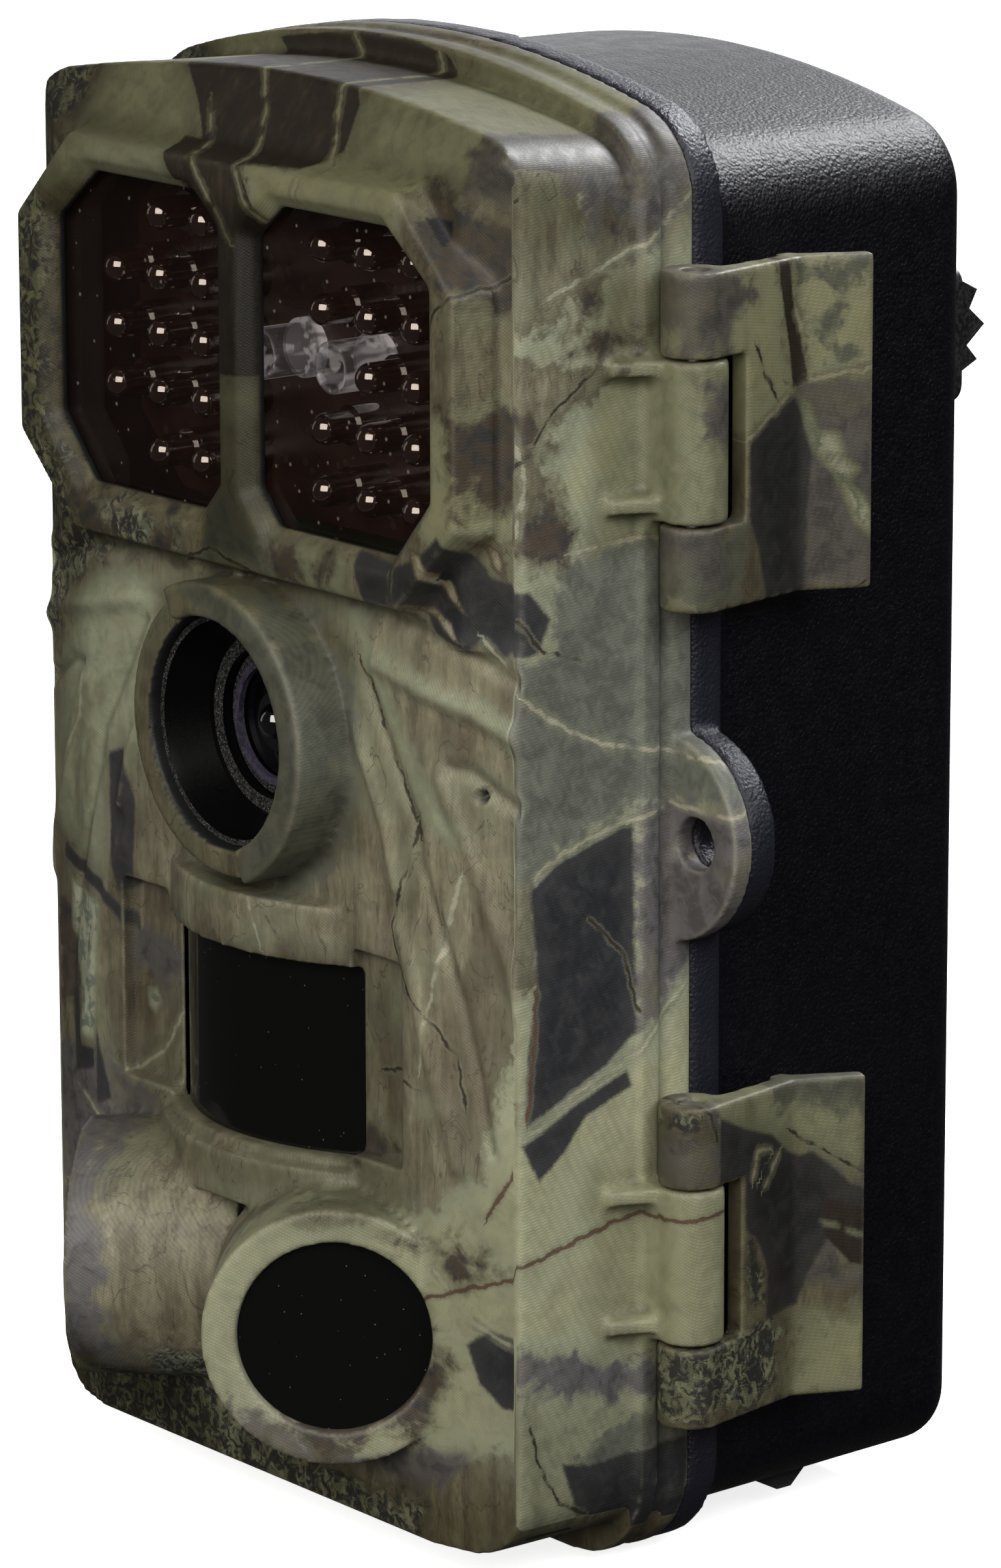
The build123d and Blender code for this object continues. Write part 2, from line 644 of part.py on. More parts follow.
with BuildPart() as contact_plates:
    for s in (-1, 1):
        for z0, z1 in ((17.2, 46.6), (48.2, 78.0)):
            box(s * 27.9, s * 28.5, 3.4, 31.4, z0, z1)


def coil(x0, x1, y, z):
    """Conical contact spring, pressed flat-wound."""
    with BuildSketch(Plane.YZ.offset(x0), mode=Mode.PRIVATE) as wide:
        with Locations((yy(y), z)):
            Circle(3.4)
    with BuildSketch(Plane.YZ.offset(x1), mode=Mode.PRIVATE) as narrow:
        with Locations((yy(y), z)):
            Circle(1.8)
    loft([wide.sketch, narrow.sketch])


with BuildPart() as contact_springs:
    for y in CELL_Y:
        for n, z in enumerate(CELL_Z):
            flip = -1 if n % 2 else 1
            coil(flip * 27.85, flip * 24.5, y, z)

with BuildPart() as power_socket:
    box(PLUG_X - 4.6, PLUG_X + 4.6, PLUG_Y - 5.5, PLUG_Y + 5.5, 3.55, 12.5)
    rod_z(PLUG_X, PLUG_Y, 2.9, 3, 10.5, mode=Mode.SUBTRACT)

with BuildPart() as power_plug:
    # rubber bung, its flat flange and the small wedge you pull it by
    rod_z(PLUG_X, PLUG_Y, 2.8, -0.2, 8.5)
    rod_z(PLUG_X, PLUG_Y, 4.1, -0.9, 2.6)
    with BuildSketch(Plane.YZ.offset(PLUG_X + 1.0)):
        with BuildLine():
            Polyline((yy(PLUG_Y - 3.6), -0.6), (yy(PLUG_Y + 3.6), -0.6), (yy(PLUG_Y + 1.6), -2.4),
                     (yy(PLUG_Y - 0.2), -2.4), close=True)
        make_face()
    extrude(amount=3.0)

# ---- tree bracket ---------------------------------------------------------------------------------


def ear_outline(y0):
    """Side view of a bracket ear: straight root and three teeth on a curved edge."""
    top = BRACKET_Z + 6.6
    low = BRACKET_Z - 6.6
    with BuildLine(mode=Mode.PRIVATE) as line:
        Polyline(
            (yy(y0), low + 0.6),
            (yy(y0 + 3.0), low + 1.2),
            (yy(y0 + 6.2), low + 2.0),
            (yy(y0 + 8.3), low + 3.0),
            (yy(y0 + 6.9), low + 4.5),
            (yy(y0 + 9.2), low + 6.4),
            (yy(y0 + 7.2), low + 8.1),
            (yy(y0 + 8.2), low + 9.9),
            (yy(y0 + 6.0), low + 11.0),
            (yy(y0 + 3.0), top - 1.2),
            (yy(y0), top - 0.6),
            close=True,
        )
    make_face(line.edges())


with BuildPart() as tree_bracket:
    base = REAR_DEPTH + 0.02
    with BuildSketch(fwd(-base)):
        with Locations((0, BRACKET_Z)):
            RectangleRounded(64.0, 13.4, 2.0)
    extrude(amount=-2.6)
    for s in (-1, 1):
        with BuildSketch(Plane.YZ.offset(s * BRACKET_X - 2.2)):
            ear_outline(base + 0.4)
        extrude(amount=4.4)
    rod_x(base + 4.9, BRACKET_Z, STRAP_R, -40, 40, mode=Mode.SUBTRACT)
    for x, z in BRACKET_SCREWS:
        tube_y(x, z, 1.35, base - 1, base + 5, mode=Mode.SUBTRACT)

with BuildPart() as bracket_screws:
    for x, z in BRACKET_SCREWS:
        tube_y(x, z, 2.5, base + 4.2, base + 2.65)
        tube_y(x, z, 1.05, base + 2.7, REAR_DEPTH - 5.5)
        box(x - 1.8, x + 1.8, base + 3.5, base + 5, z - 0.35, z + 0.35, mode=Mode.SUBTRACT)
        box(x - 0.35, x + 0.35, base + 3.5, base + 5, z - 1.8, z + 1.8, mode=Mode.SUBTRACT)

# ---- files ----------------------------------------------------------------------------------------
PIECES = {
    "front_shell": front_shell,
    "window_left": window_left,
    "window_right": window_right,
    "ir_lamps": ir_lamps,
    "clear_lamps": clear_lamps,
    "flash_board": flash_board,
    "lens_baffle": lens_baffle,
    "lens_barrel": lens_barrel,
    "lens_ring": lens_ring,
    "lens_glass": lens_glass,
    "lens_front_element": lens_front_element,
    "image_sensor": image_sensor,
    "sensor_board": sensor_board,
    "pir_window": pir_window,
    "side_pir_left": side_pir_left,
    "side_pir_right": side_pir_right,
    "pir_sensors": pir_sensors,
    "main_board": main_board,
    "processor": processor,
    "microphone": microphone,
    "card_socket": card_socket,
    "memory_card": memory_card,
    "usb_socket": usb_socket,
    "inner_panel": inner_panel,
    "screen": screen,
    "screen_window": screen_window,
    "panel_screws": panel_screws,
    "button_up": button_up,
    "button_down": button_down,
    "button_left": button_left,
    "button_right": button_right,
    "button_ok": button_ok,
    "button_menu": button_menu,
    "button_replay": button_replay,
    "button_domes": button_domes,
    "mode_switch": mode_switch,
    "latch_lever_upper": latch_lever_upper,
    "latch_lever_lower": latch_lever_lower,
    "latch_pins": latch_pins,
    "rear_shell": rear_shell,
    "seal": seal,
    "tripod_insert": tripod_insert,
    "hinge_pin": hinge_pin,
    "battery_tray": battery_tray,
    "cells": cells,
    "contact_plates": contact_plates,
    "contact_springs": contact_springs,
    "power_socket": power_socket,
    "power_plug": power_plug,
    "tree_bracket": tree_bracket,
    "bracket_screws": bracket_screws,
}
for label, piece in PIECES.items():
    piece.part.label = label
    export_step(piece.part, "parts/" + label + ".step")
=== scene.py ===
"""Looks of the trail camera: printed camouflage front, black grained rear case, glass and lamps."""

import json
import math

import bpy
import numpy as np
from mathutils import Matrix, Vector


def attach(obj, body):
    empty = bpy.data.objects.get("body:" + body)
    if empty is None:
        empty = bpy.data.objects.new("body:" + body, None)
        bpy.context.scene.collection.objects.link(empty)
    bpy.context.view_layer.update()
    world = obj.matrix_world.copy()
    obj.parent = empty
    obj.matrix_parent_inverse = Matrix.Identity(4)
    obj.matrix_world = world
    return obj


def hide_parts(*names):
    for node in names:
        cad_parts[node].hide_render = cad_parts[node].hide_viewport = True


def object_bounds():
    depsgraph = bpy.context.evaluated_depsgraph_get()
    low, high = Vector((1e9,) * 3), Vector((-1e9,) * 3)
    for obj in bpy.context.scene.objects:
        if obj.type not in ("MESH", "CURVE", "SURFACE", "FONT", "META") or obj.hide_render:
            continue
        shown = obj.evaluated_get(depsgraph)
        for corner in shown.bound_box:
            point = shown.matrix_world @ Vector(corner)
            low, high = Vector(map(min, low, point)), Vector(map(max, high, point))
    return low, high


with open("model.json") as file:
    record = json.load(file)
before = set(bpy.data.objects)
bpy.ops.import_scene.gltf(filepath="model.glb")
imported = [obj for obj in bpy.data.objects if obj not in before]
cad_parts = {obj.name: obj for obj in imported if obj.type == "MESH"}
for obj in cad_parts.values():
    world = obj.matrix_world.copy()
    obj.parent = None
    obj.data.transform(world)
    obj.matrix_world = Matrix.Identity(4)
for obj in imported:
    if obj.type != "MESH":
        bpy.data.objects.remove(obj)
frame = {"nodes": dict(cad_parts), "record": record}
cad_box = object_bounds()
nodes = frame["nodes"]

MM = 0.001
SEAM = 17.0  # the halves part this far in front of the tripod thread, mm
SHELL_VOXEL = 0.40  # mesh sizes of the skins, mm
LEVER_VOXEL = 0.34
CASE_VOXEL = 0.50
SHELL_SOFTENING = 5  # smoothing passes that round the edges of a skin
LEVER_SOFTENING = 4

STRIP_END = 3.6  # the rear case's smoother, bluer strip next to the seam ends here
SIDE_START = 36.0  # further out than this the front shell carries the side print, mm
SIDE_FLIP = 137.0  # the left side has the right side's print upside down: Z becomes this minus Z
LENS_Z = 75.4
LENS_WELL = 11.6  # radius of the bare well round the lens
HOOD_R = 14.9  # radius of the lens hood where it meets the front face
RELIEF_TOP = 91.0  # the moulded relief stays below the flash housing
RELIEF_FRONT = 19.0  # on the face at least this far in front of the seam
RELIEF_FACING = -0.55  # where the face looks forward at least this much
RELIEF_FADE = 1.2  # and it fades in over this distance from the lens hood, mm
INSIDE_TOP = 135.4  # top of the front half's inside in the middle
INSIDE_HALF = 34.8  # half its width, and how far its arched top drops over that
INSIDE_DROP = 6.2
MIC = (32.3, 74.2)  # microphone hole in the front face, X and Z
MIC_RADIUS = 0.6
MIC_DEPTH = 0.9
MIC_EDGE = 0.4  # the hole's rim fades over this, mm
CELL_FLOOR = 16.2  # underside of the lowest row of cells, and the height of a row
CELL_PITCH = 15.6
CELL_SHOULDER = 11.0  # the copper part of a cell starts this far from the middle
CELL_END = 23.9  # and the bare steel here

# ---- colours, linear ----
BARK = (0.205, 0.188, 0.125)
BARK_DARK = (0.118, 0.104, 0.068)
BARK_LIGHT = (0.330, 0.310, 0.225)
SAGE = (0.300, 0.315, 0.215)
SAGE_DEEP = (0.190, 0.200, 0.135)
YELLOW = (0.355, 0.355, 0.225)
YELLOW_DEEP = (0.280, 0.280, 0.180)
GREY = (0.150, 0.158, 0.128)
GREY_DEEP = (0.105, 0.110, 0.092)
PURPLE = (0.130, 0.122, 0.122)
PURPLE_DEEP = (0.078, 0.074, 0.074)
CHARCOAL = (0.026, 0.027, 0.030)
CHARCOAL_LIGHT = (0.044, 0.044, 0.046)
BROWN = (0.036, 0.027, 0.020)
BROWN_LIGHT = (0.085, 0.066, 0.048)
PALE = (0.370, 0.380, 0.285)
TEAL = (0.120, 0.175, 0.160)
TAN = (0.400, 0.375, 0.280)
TAN_DEEP = (0.260, 0.215, 0.135)
RUST = (0.115, 0.062, 0.042)
BARE = (0.010, 0.010, 0.011)


def area(x0, z0, x1, z1):
    """A rectangular outline."""
    return [(x0, z0), (x1, z0), (x1, z1), (x0, z1)]


# Painted shade, with some of the print's own darkness: outline, share of the full tone, how soft (mm).
# The front is darker on the top of the brow, over the flash housing (most on the mullion), round the lens
# hood, at the bottom and towards the left, and lighter on the right below the flash; the side is darker
# along the top, at the bottom and under the two latch levers.
FRONT_SHADE_AND_TONES = [
    (area(-39, 129.8, 39, 143), 0.42, 1.6),
    (area(-37, 89, 37, 131), 0.62, 2.0),
    (area(-37, 84, -24, 143), 0.62, 5.0),
    (area(-4.5, 92, 4.5, 126), 0.36, 1.5),
    ([(-15.6, 66), (0, 58.5), (15.6, 66), (15.6, 86), (0, 92), (-15.6, 86)], 0.62, 1.5),
    (area(-23, 31, 23, 56), 0.72, 2.0),
    (area(-39, -6, 39, 7), 0.50, 5.0),
    ([(-37, 0), (-9, 0), (-12, 16), (-37, 17)], 0.42, 4.0),
    ([(-39, 26), (-28, 30), (-28, 92), (-39, 92)], 0.75, 3.0),
    (area(8, 5, 40, 34), 0.86, 4.0),
    ([(14, 92), (40, 92), (40, 40), (24, 40), (16, 62)], 1.25, 3.0),
]
SIDE_SHADE_AND_TONES = [
    ([(-27, 124), (9, 127), (9, 143), (-27, 143)], 0.62, 4.0),
    (area(-27, -6, 9, 16), 0.72, 5.0),
    (area(-12, 122, 9, 96), 0.62, 2.0),
    (area(-12, 38, 9, 18), 0.72, 2.0),
]

# ---- camouflage print: front, in X and Z (mm) ----
FRONT = {}
FRONT["sage"] = [
    [(-27, 140), (-15, 140), (-15, 137), (-11, 134), (-9, 130.5), (-12, 129.4), (-28, 130)],
    [(13, 140), (33, 140), (34, 131), (30, 129.5), (13.5, 129.8)],
    [(-31, 131), (-9.5, 131), (-9, 126.5), (-11, 124.5), (-30, 124.5)],
    [(-3.8, 109.2), (3.8, 109.8), (3.8, 105.4), (-3.8, 104.6)],
    [(4.5, 96), (18.3, 95.5), (19.2, 90.2), (8, 90.2)],
    [(-34, 77), (-29, 84), (-24, 87.5), (-16, 88.5), (-13, 85), (-15, 72), (-18, 69), (-34, 70)],
    [(-34, 76), (-18, 72), (-21, 69), (-24.2, 68), (-24.2, 58), (-24.5, 56.2), (-34, 58.5)],
    [(-25.5, 32), (-22, 34), (-20, 31.5), (-23, 27.5), (-30, 26), (-34, 28), (-34, 33), (-29, 33.5)],
    [(20, 86), (26, 84.6), (32, 83.3), (38.6, 80.2), (38.6, 78.2), (31, 81.6), (25, 83.2),
     (20, 84.4)],
    [(14.3, 89.4), (17, 84.4), (19.4, 80.1), (22.5, 75.9), (26, 70.9), (30, 67.9), (32.3, 69),
     (28.3, 71.7), (24.9, 76.4), (21.5, 80.4), (19.1, 85.2), (16.1, 89.4)],
]
FRONT["yellow"] = [
    [(3, 130.8), (26, 131), (26.5, 125.5), (22, 123.5), (4, 123.5)],
    [(38.5, 54), (34, 45), (33, 40.5), (32, 37), (27, 33.8), (19.5, 31.6), (13, 33.5), (7, 28),
     (6, 18), (12, 9), (20, 7), (30, 10), (38.5, 11)],
    [(26, 110), (37, 112), (37, 100), (31, 97), (28, 100)],
]
FRONT["grey"] = [
    [(-3, 96.5), (6, 96.5), (8, 90), (-6, 90)],
    [(-6, 91), (9, 89), (15, 83), (16, 75), (14.5, 67), (9, 61), (2, 60), (7, 66), (11, 75),
     (7, 84), (0, 86)],
]
FRONT["purple"] = [
    [(-22, 50.8), (-14, 50.2), (-14, 46.8), (-22, 47.2)],
    [(-36, 36), (-24, 37), (-13, 32), (-8, 22), (-10, 10), (-24, 6), (-36, 8)],
    [(30, 139), (37, 136), (37, 129), (32, 129)],
    [(14, 14), (22, 9), (30, 10), (28, 6), (18, 5), (11, 9)],
]
FRONT["mottle"] = [
    [(-37, 128), (-30.2, 129), (-28.2, 120), (-28.6, 101), (-24, 95.5), (-8, 96), (-6, 90.6),
     (-14, 89.5), (-22, 88.5), (-27, 86), (-31, 83), (-33, 78), (-39, 76)],
    [(-37, 138), (-29, 139), (-27, 135), (-27.5, 129.5), (-37, 128)],
    [(-24, 8), (-12, 9.5), (-6, 14), (4, 13), (8, 6), (16, 4), (26, 4.5), (26, -5), (-30, -5),
     (-34, 4)],
    [(-34, 17), (-27, 15.5), (-20, 12), (-12, 11), (-8, 9), (-8, 2), (-34, 2)],
]
FRONT["charcoal"] = [
    [(-23.8, 68.5), (-21, 69.5), (-19.5, 64), (-20.2, 56), (-22.5, 54.5), (-23.6, 60)],
    [(-33.9, 57.4), (-30, 56.3), (-25, 55.3), (-21.2, 52.2), (-21.2, 50.6), (-25.2, 53.8),
     (-30, 54.8), (-33.9, 55.7)],
    [(-26.8, 40), (-24.2, 33), (-26.8, 32)],
    [(18.3, 95.8), (20.4, 91), (26.2, 91.6), (27.4, 88.8), (31.2, 87.6), (32.8, 88.8), (34.4, 87),
     (36, 88.4), (38.5, 87.6), (38.5, 94.2), (34, 95), (31.4, 99), (28.5, 96.5), (25, 95.2)],
    [(30.5, 21), (33, 22.8), (38, 22.5), (38, 15.5), (34.5, 15.5), (32, 17.5)],
    [(-32, 34), (-27.2, 35.5), (-27.4, 37.5), (-30.5, 37), (-31, 43), (-32.4, 43)],
]
FRONT["brown"] = [
    [(-16.5, 138.2), (-12, 139), (-4.5, 140), (4, 140), (9.5, 139), (12.5, 136), (13, 131.8),
     (9.6, 130), (2, 129.8), (-5, 129.8), (-7.6, 130.6), (-10.5, 133.6), (-13.5, 136)],
    [(-10.5, 130.8), (-8, 126.5), (-4.4, 123.5), (-3.6, 109.4), (3.6, 109.8), (3.8, 120),
     (5.2, 124), (3.6, 127), (1.4, 130.8)],
]
FRONT["pale"] = [
    [(-20.2, 45), (-18.6, 45.4), (-17.6, 44), (-19, 42.6), (-20.2, 43.2)],
    [(-16.4, 20), (-13.8, 21), (-12.8, 13), (-14, 6.5), (-16.2, 7.4), (-15.2, 13)],
    [(-32.4, 54), (-25, 53), (-26, 45), (-27, 38), (-30, 38.4), (-30.4, 44), (-32.6, 49)],
    [(9, 23), (10.5, 28), (8.6, 30), (7.2, 24)],
]
FRONT["smudge"] = [
    [(26, 131), (38, 128), (38, 119), (31, 120), (27, 126)],
    [(31, 112), (38, 110), (38, 103), (33, 101)],
    [(6, 96), (10, 96), (11, 90.5), (7, 90.5)],
    [(13.4, 96), (15.6, 96), (16.6, 90.5), (14, 90.5)],
    [(-26, 96), (-21, 96.6), (-19, 90.5), (-25, 90)],
    [(-12, 96), (-9, 96.2), (-9, 90.6), (-13, 90)],
    [(11.5, 36), (15, 35), (19, 37), (17, 40), (12, 39)],
    [(15, 12), (21, 15), (27, 21), (30, 19), (26, 12), (19, 8)],
    [(24, 30), (30, 31), (34, 29), (30, 27)],
    [(-36, 52), (-30, 50), (-27, 42), (-36, 40)],
]
FRONT["tan"] = [
    [(27.2, 97.5), (29, 97), (30.4, 94), (31.8, 91.2), (29.6, 92.6), (28, 94.8)],
    [(25, 91.4), (27.6, 90.4), (29.8, 88.6), (31, 88.4), (30, 90.4), (27.6, 91.6)],
    [(33.4, 98.6), (34.8, 97.4), (35.4, 94.6), (34, 96)],
]
FRONT["vein"] = [
    [(-4.5, 139.5), (-0.4, 134), (1.2, 130), (2.6, 127), (4.6, 124.4)],
    [(8.3, 139), (10, 135), (12.4, 130.2)],
    [(-8.8, 134), (-6, 130), (-3.6, 127.4), (0.6, 122.6)],
    [(11.5, 131), (10.2, 127.5), (11.2, 124)],
    [(3.5, 60), (4.4, 58), (5.2, 55.4)],
    [(30, 66), (27, 56), (24.8, 47)],
    [(-33, 66), (-29, 71), (-27.5, 77)],
    [(33.4, 89), (35.2, 86.6), (38.6, 84)],
    [(-21.8, 36.4), (-17.6, 39), (-14.6, 43.4)],
    [(-34, 22), (-28, 21), (-23, 16), (-21, 8)],
    [(-31, 32.5), (-24, 30), (-17, 24), (-12, 22.5)],
    [(36, 21.6), (31, 23.4), (27, 27.4)],
]
FRONT["twig"] = [
    [(38.5, 125), (36, 123), (31, 119.5), (30, 117), (27.5, 110)],
    [(24.8, 70.7), (23.6, 67.2), (22.1, 63.1), (21, 60.1), (21.5, 58.1), (23.3, 53.9), (27.1, 51.3),
     (29.5, 49.1), (30.4, 44.4)],
    [(17.5, 44.8), (20, 45.4), (24, 44.9)],
    [(9, 12), (12.5, 9), (17, 7.4)],
    [(16.5, 84.5), (20.5, 77), (25, 69.5)],
    [(-10, 90), (-3, 92.6), (4, 91.2)],
    [(26, 108), (25, 100), (24.2, 92)],
    [(-35, 110), (-32, 113), (-31, 119)],
    [(-24, 24), (-18, 26.6), (-12, 25)],
]
FRONT["rust"] = [
    [(19, 23.2), (25, 24.3), (30.5, 26.5), (38.5, 29.2)],
    [(33, 34), (35.5, 38), (38.5, 44)],
]

# ---- camouflage print: right side, in depth behind the seam and Z (mm) ----
SIDE = {}
SIDE["sage"] = [[(-26, 142), (9, 142), (9, -6), (-26, -6)]]
SIDE["yellow"] = [
    [(-26, 42), (-19.5, 42.4), (-16, 43.2), (-14, 45.4), (-7, 47.8), (-4, 51), (0, 55.4), (9, 57),
     (9, 19), (-5, 17.6), (-14, 20), (-21, 22), (-26, 24)],
    [(-25, 52.5), (-18.1, 57.8), (-19.4, 43)],
    [(-7, 113.5), (-7, 108), (-10, 103), (-12.5, 98.8), (-16, 100.5), (-16, 104), (-13, 109),
     (-10, 112.5)],
]
SIDE["bark"] = [
    [(-26, 77), (-20, 75.6), (-18.6, 66), (-18.2, 57.8), (-26, 51)],
    [(-26, 141), (-12, 138), (-12.8, 129), (-6.6, 123.8), (-12.8, 120.7), (-18.6, 117.5),
     (-26, 116)],
    [(-26, 116), (-17, 115), (-10, 113), (-15, 110), (-18, 106.9), (-17, 103), (-19, 97), (-26, 97)],
]
SIDE["grey"] = [
    [(-26, 87.4), (-17, 88), (-15, 95), (-14, 96.8), (0, 97.4), (9, 97), (9, 72.8), (-6, 71.9),
     (-11, 70.2), (-16, 68.7), (-20, 66.4), (-26, 65)],
    [(-13.4, 9.6), (-9, 12.6), (0, 13.4), (9, 13), (9, 9), (-13.4, 8)],
]
SIDE["purple"] = [
    [(-11.2, 137), (-14, 131), (-12.8, 127.7), (-6.6, 123.4), (-3.1, 125.9), (0.5, 127.4), (8, 129),
     (8, 141), (-3.7, 138), (-7.6, 139)],
    [(-4, 112), (0, 113), (6, 110), (6, 103), (0, 105), (-4, 108)],
    [(-26, 23.6), (-21, 21.4), (-14, 19.5), (-5, 17.2), (6, 16.6), (6, 13.6), (-5, 13.8),
     (-14, 15.6), (-21, 17.6), (-26, 19.5)],
    [(-7, 72), (9, 72.6), (9, 57), (0, 56), (-4, 51.4), (-7, 50)],
]
SIDE["mottle"] = [
    [(-24.5, 70), (-21, 69), (-21.6, 60), (-24.5, 58)],
]
SIDE["smudge"] = [
    [(-12.6, 121.6), (-11, 120), (-13, 116.6), (-15, 116.4), (-14, 119.5)],
    [(-14.7, 116.1), (-10, 117), (-6.3, 117.6), (-5.6, 116), (-6.3, 114.7), (-11, 115),
     (-14.7, 115.1)],
    [(-17, 104.5), (-15, 102.5), (-13.7, 98.5), (-15.2, 95.5), (-21, 96), (-24, 99), (-21, 101),
     (-18.4, 101.5)],
    [(-10.5, 128), (-5.5, 126.6), (-6, 124), (-10, 124.6)],
    [(-9, 137.5), (-6.4, 137), (-5, 131), (-7, 128), (-8.2, 132)],
    [(-26, 112), (-18, 111), (-16.4, 107), (-20, 105), (-26, 108)],
]
SIDE["charcoal"] = [
    [(-19, 65.6), (-16, 67.8), (-10, 69.6), (-7, 70.8), (-6.6, 50.2), (-10, 47.6), (-15, 45.2),
     (-19.5, 43.2), (-19.3, 50), (-18.1, 57.5)],
    [(-20, 41.4), (-18, 37.6), (-15, 40), (-12.5, 43), (-7, 45), (-7.5, 46.7), (-14, 44.2),
     (-18.5, 42)],
    [(-15.4, 9.4), (-12, 8.6), (6, 9.6), (9, -6), (-14, -6), (-13, 3)],
    [(-26, 94), (-19, 93.8), (-16.6, 91), (-18, 88), (-26, 87)],
]
SIDE["vein"] = [
    [(-24, 65.2), (-20, 66), (-16, 68.4), (-10, 70.2), (0, 72), (6, 72.6)],
    [(-19.5, 42.5), (-16.5, 43), (-14, 45.3), (-7, 47.8), (-4, 51), (0, 55), (5, 57)],
    [(-14, 97), (-4, 97.4)],
    [(-19.5, 83.7), (-15, 80.5), (-10, 78.3), (-6, 77.4), (0, 76)],
    [(-17, 120.5), (-5.5, 124.9), (0, 129)],
    [(-21, 110), (-19.4, 104), (-20.6, 98)],
]
SIDE["twig"] = [
    [(-24, 123), (-20.6, 129.6), (-18.5, 131.5), (-15, 133.7)],
    [(-24, 100.5), (-20, 105.5), (-16.5, 110), (-10.4, 114.2)],
    [(-19.5, 15), (-18, 9.5), (-15.5, 5.5), (-12, 3.5)],
    [(-20, 91), (-17.5, 88), (-12, 86.4)],
    [(-12, 62), (-8, 58), (-6.4, 52)],
]
SIDE["rust"] = [
    [(-26, 28.6), (-19, 29.8), (-12, 31.5), (-5, 32.8), (5, 33.4)],
    [(-19.4, 44), (-18.6, 50), (-18.3, 56)],
]

# ---- camouflage print: the two latch levers, placed like the side ----
UPPER = {}
UPPER["yellow"] = [
    [(-1.4, 123), (6.2, 123), (7, 117), (8, 110), (2.2, 106.6), (-1.2, 106), (-1.4, 118)],
    [(8.4, 123.4), (18, 123.4), (18, 111.9), (10.2, 110.8), (9.4, 115), (8.6, 118)],
    [(-8.4, 96.4), (-5.6, 94.4), (-4, 93), (-2, 90.6), (-8.4, 90.6)],
    [(14.4, 90.9), (18, 93.2), (18, 90.4)],
]
UPPER["sage"] = [[(-8.4, 124), (-1.2, 124), (-1.2, 105), (-8.4, 105)]]
UPPER["grey"] = [
    [(9, 121.6), (12, 121.8), (15, 123.2), (15.6, 120.4), (12, 119.4), (9.6, 120.2)],
    [(10, 117), (12.6, 117.6), (13.4, 116), (11, 115)],
    [(12, 113.6), (14.8, 113.8), (14.4, 112), (11.6, 112)],
    [(-8.4, 98), (2, 99.4), (2.2, 96), (0, 91), (-8.4, 91)],
]
UPPER["purple"] = [
    [(-7.6, 123), (-2, 123), (1.4, 122), (2.2, 119.6), (0, 118), (-1.2, 114.6), (-5, 115),
     (-7.4, 119)],
    [(9.2, 110.2), (18, 112), (18, 90.6), (10, 90.6), (9.4, 100)],
    [(-7.6, 99), (-2, 99), (-1.4, 93), (-4, 94), (-7.6, 97)],
]
UPPER["charcoal"] = [
    [(2.1, 106.3), (8.2, 109.8), (9.4, 108), (10.4, 104), (10, 98), (9.8, 90.6), (4.6, 90.6),
     (3.4, 96), (2.1, 99)],
]
UPPER["brown"] = [
    [(6.2, 122.6), (7.6, 122.2), (8.1, 118.5), (9.2, 115.2), (10, 110.7), (8.3, 110.1),
     (7.7, 114.2), (6.9, 117.7), (6.3, 120.5)],
]
UPPER["pale"] = [
    [(9, 109.7), (10.4, 108.4), (11, 106.2), (12.8, 106), (13.4, 103.6), (14.8, 102.3), (13.8, 101),
     (15.6, 98.9), (17.5, 96.5), (17.5, 93.4), (15.8, 95), (14, 97.2), (13, 99.8), (12, 102),
     (10.4, 104), (9.7, 106.5)],
]
UPPER["vein"] = [[(2.2, 106.5), (8.2, 110), (10.2, 110.9), (17.8, 112.1)], [(8.6, 117.4), (9.6, 114.8)]]
UPPER["twig"] = [[(3, 114.6), (4, 112.6), (5.8, 109.8)], [(14.4, 91), (17.8, 93.3)]]
LOWER = {}
LOWER["sage"] = [
    [(-8.4, 48), (18, 48), (18, 31.6), (14.6, 33.2), (11, 36), (8, 36.8), (5, 39), (2, 40.2),
     (-1, 40), (-8.4, 39)],
    [(9.6, 21), (18, 22), (18, 11.6), (7.4, 12.4)],
]
LOWER["yellow"] = [
    [(12, 19.6), (18, 20), (18, 11.6), (9.4, 12.6)],
    [(-8.4, 22), (-1, 21), (-1, 16), (-8.4, 15)],
]
LOWER["grey"] = [
    [(4, 47), (18, 47), (18, 38), (11, 41), (6, 42)],
]
LOWER["purple"] = [
    [(-8.4, 45), (-2, 45.4), (-1.6, 36), (-8.4, 37)],
    [(10, 36.4), (18, 32), (18, 24), (14, 22), (10.6, 24)],
]
LOWER["mottle"] = [
    [(-8.4, 21.6), (3, 21.4), (6.4, 22), (8.6, 18.6), (7.6, 12), (-8.4, 12)],
    [(2, 30.6), (3.6, 30.4), (5.5, 26), (5.2, 21), (2, 21)],
    [(-8, 44), (-4, 44.4), (-3.2, 41), (-7.4, 40.4)],
]
LOWER["charcoal"] = [
    [(-1.8, 42.4), (2, 40.4), (6, 39), (8, 37), (9.6, 36.1), (11, 36.4), (14.4, 33), (17.8, 31.6),
     (17.8, 30), (13, 29), (10.4, 24), (9.6, 21.4), (5.2, 20.8), (5.4, 25.6), (3.8, 29.2),
     (2.1, 30.4), (2.1, 35.8), (-1.8, 35.8)],
]
LOWER["brown"] = [[(12, 31.8), (17.8, 29.6), (17.8, 24.4), (14.4, 25), (12, 28)]]
LOWER["pale"] = [
    [(11.6, 29.6), (13.2, 29.2), (13.4, 28.6), (12, 28.8)],
    [(13.9, 28.6), (16, 27.9), (15.8, 27.3), (14.1, 27.9)],
    [(16.4, 27.4), (17.6, 26.8), (17.6, 25.8), (16.8, 26.2)],
    [(13, 26.6), (14.1, 25.3), (13.6, 25)],
]
LOWER["vein"] = [[(3.2, 35.4), (3.8, 37.8), (5.4, 37.5)], [(5, 34.2), (6.8, 36.8)]]
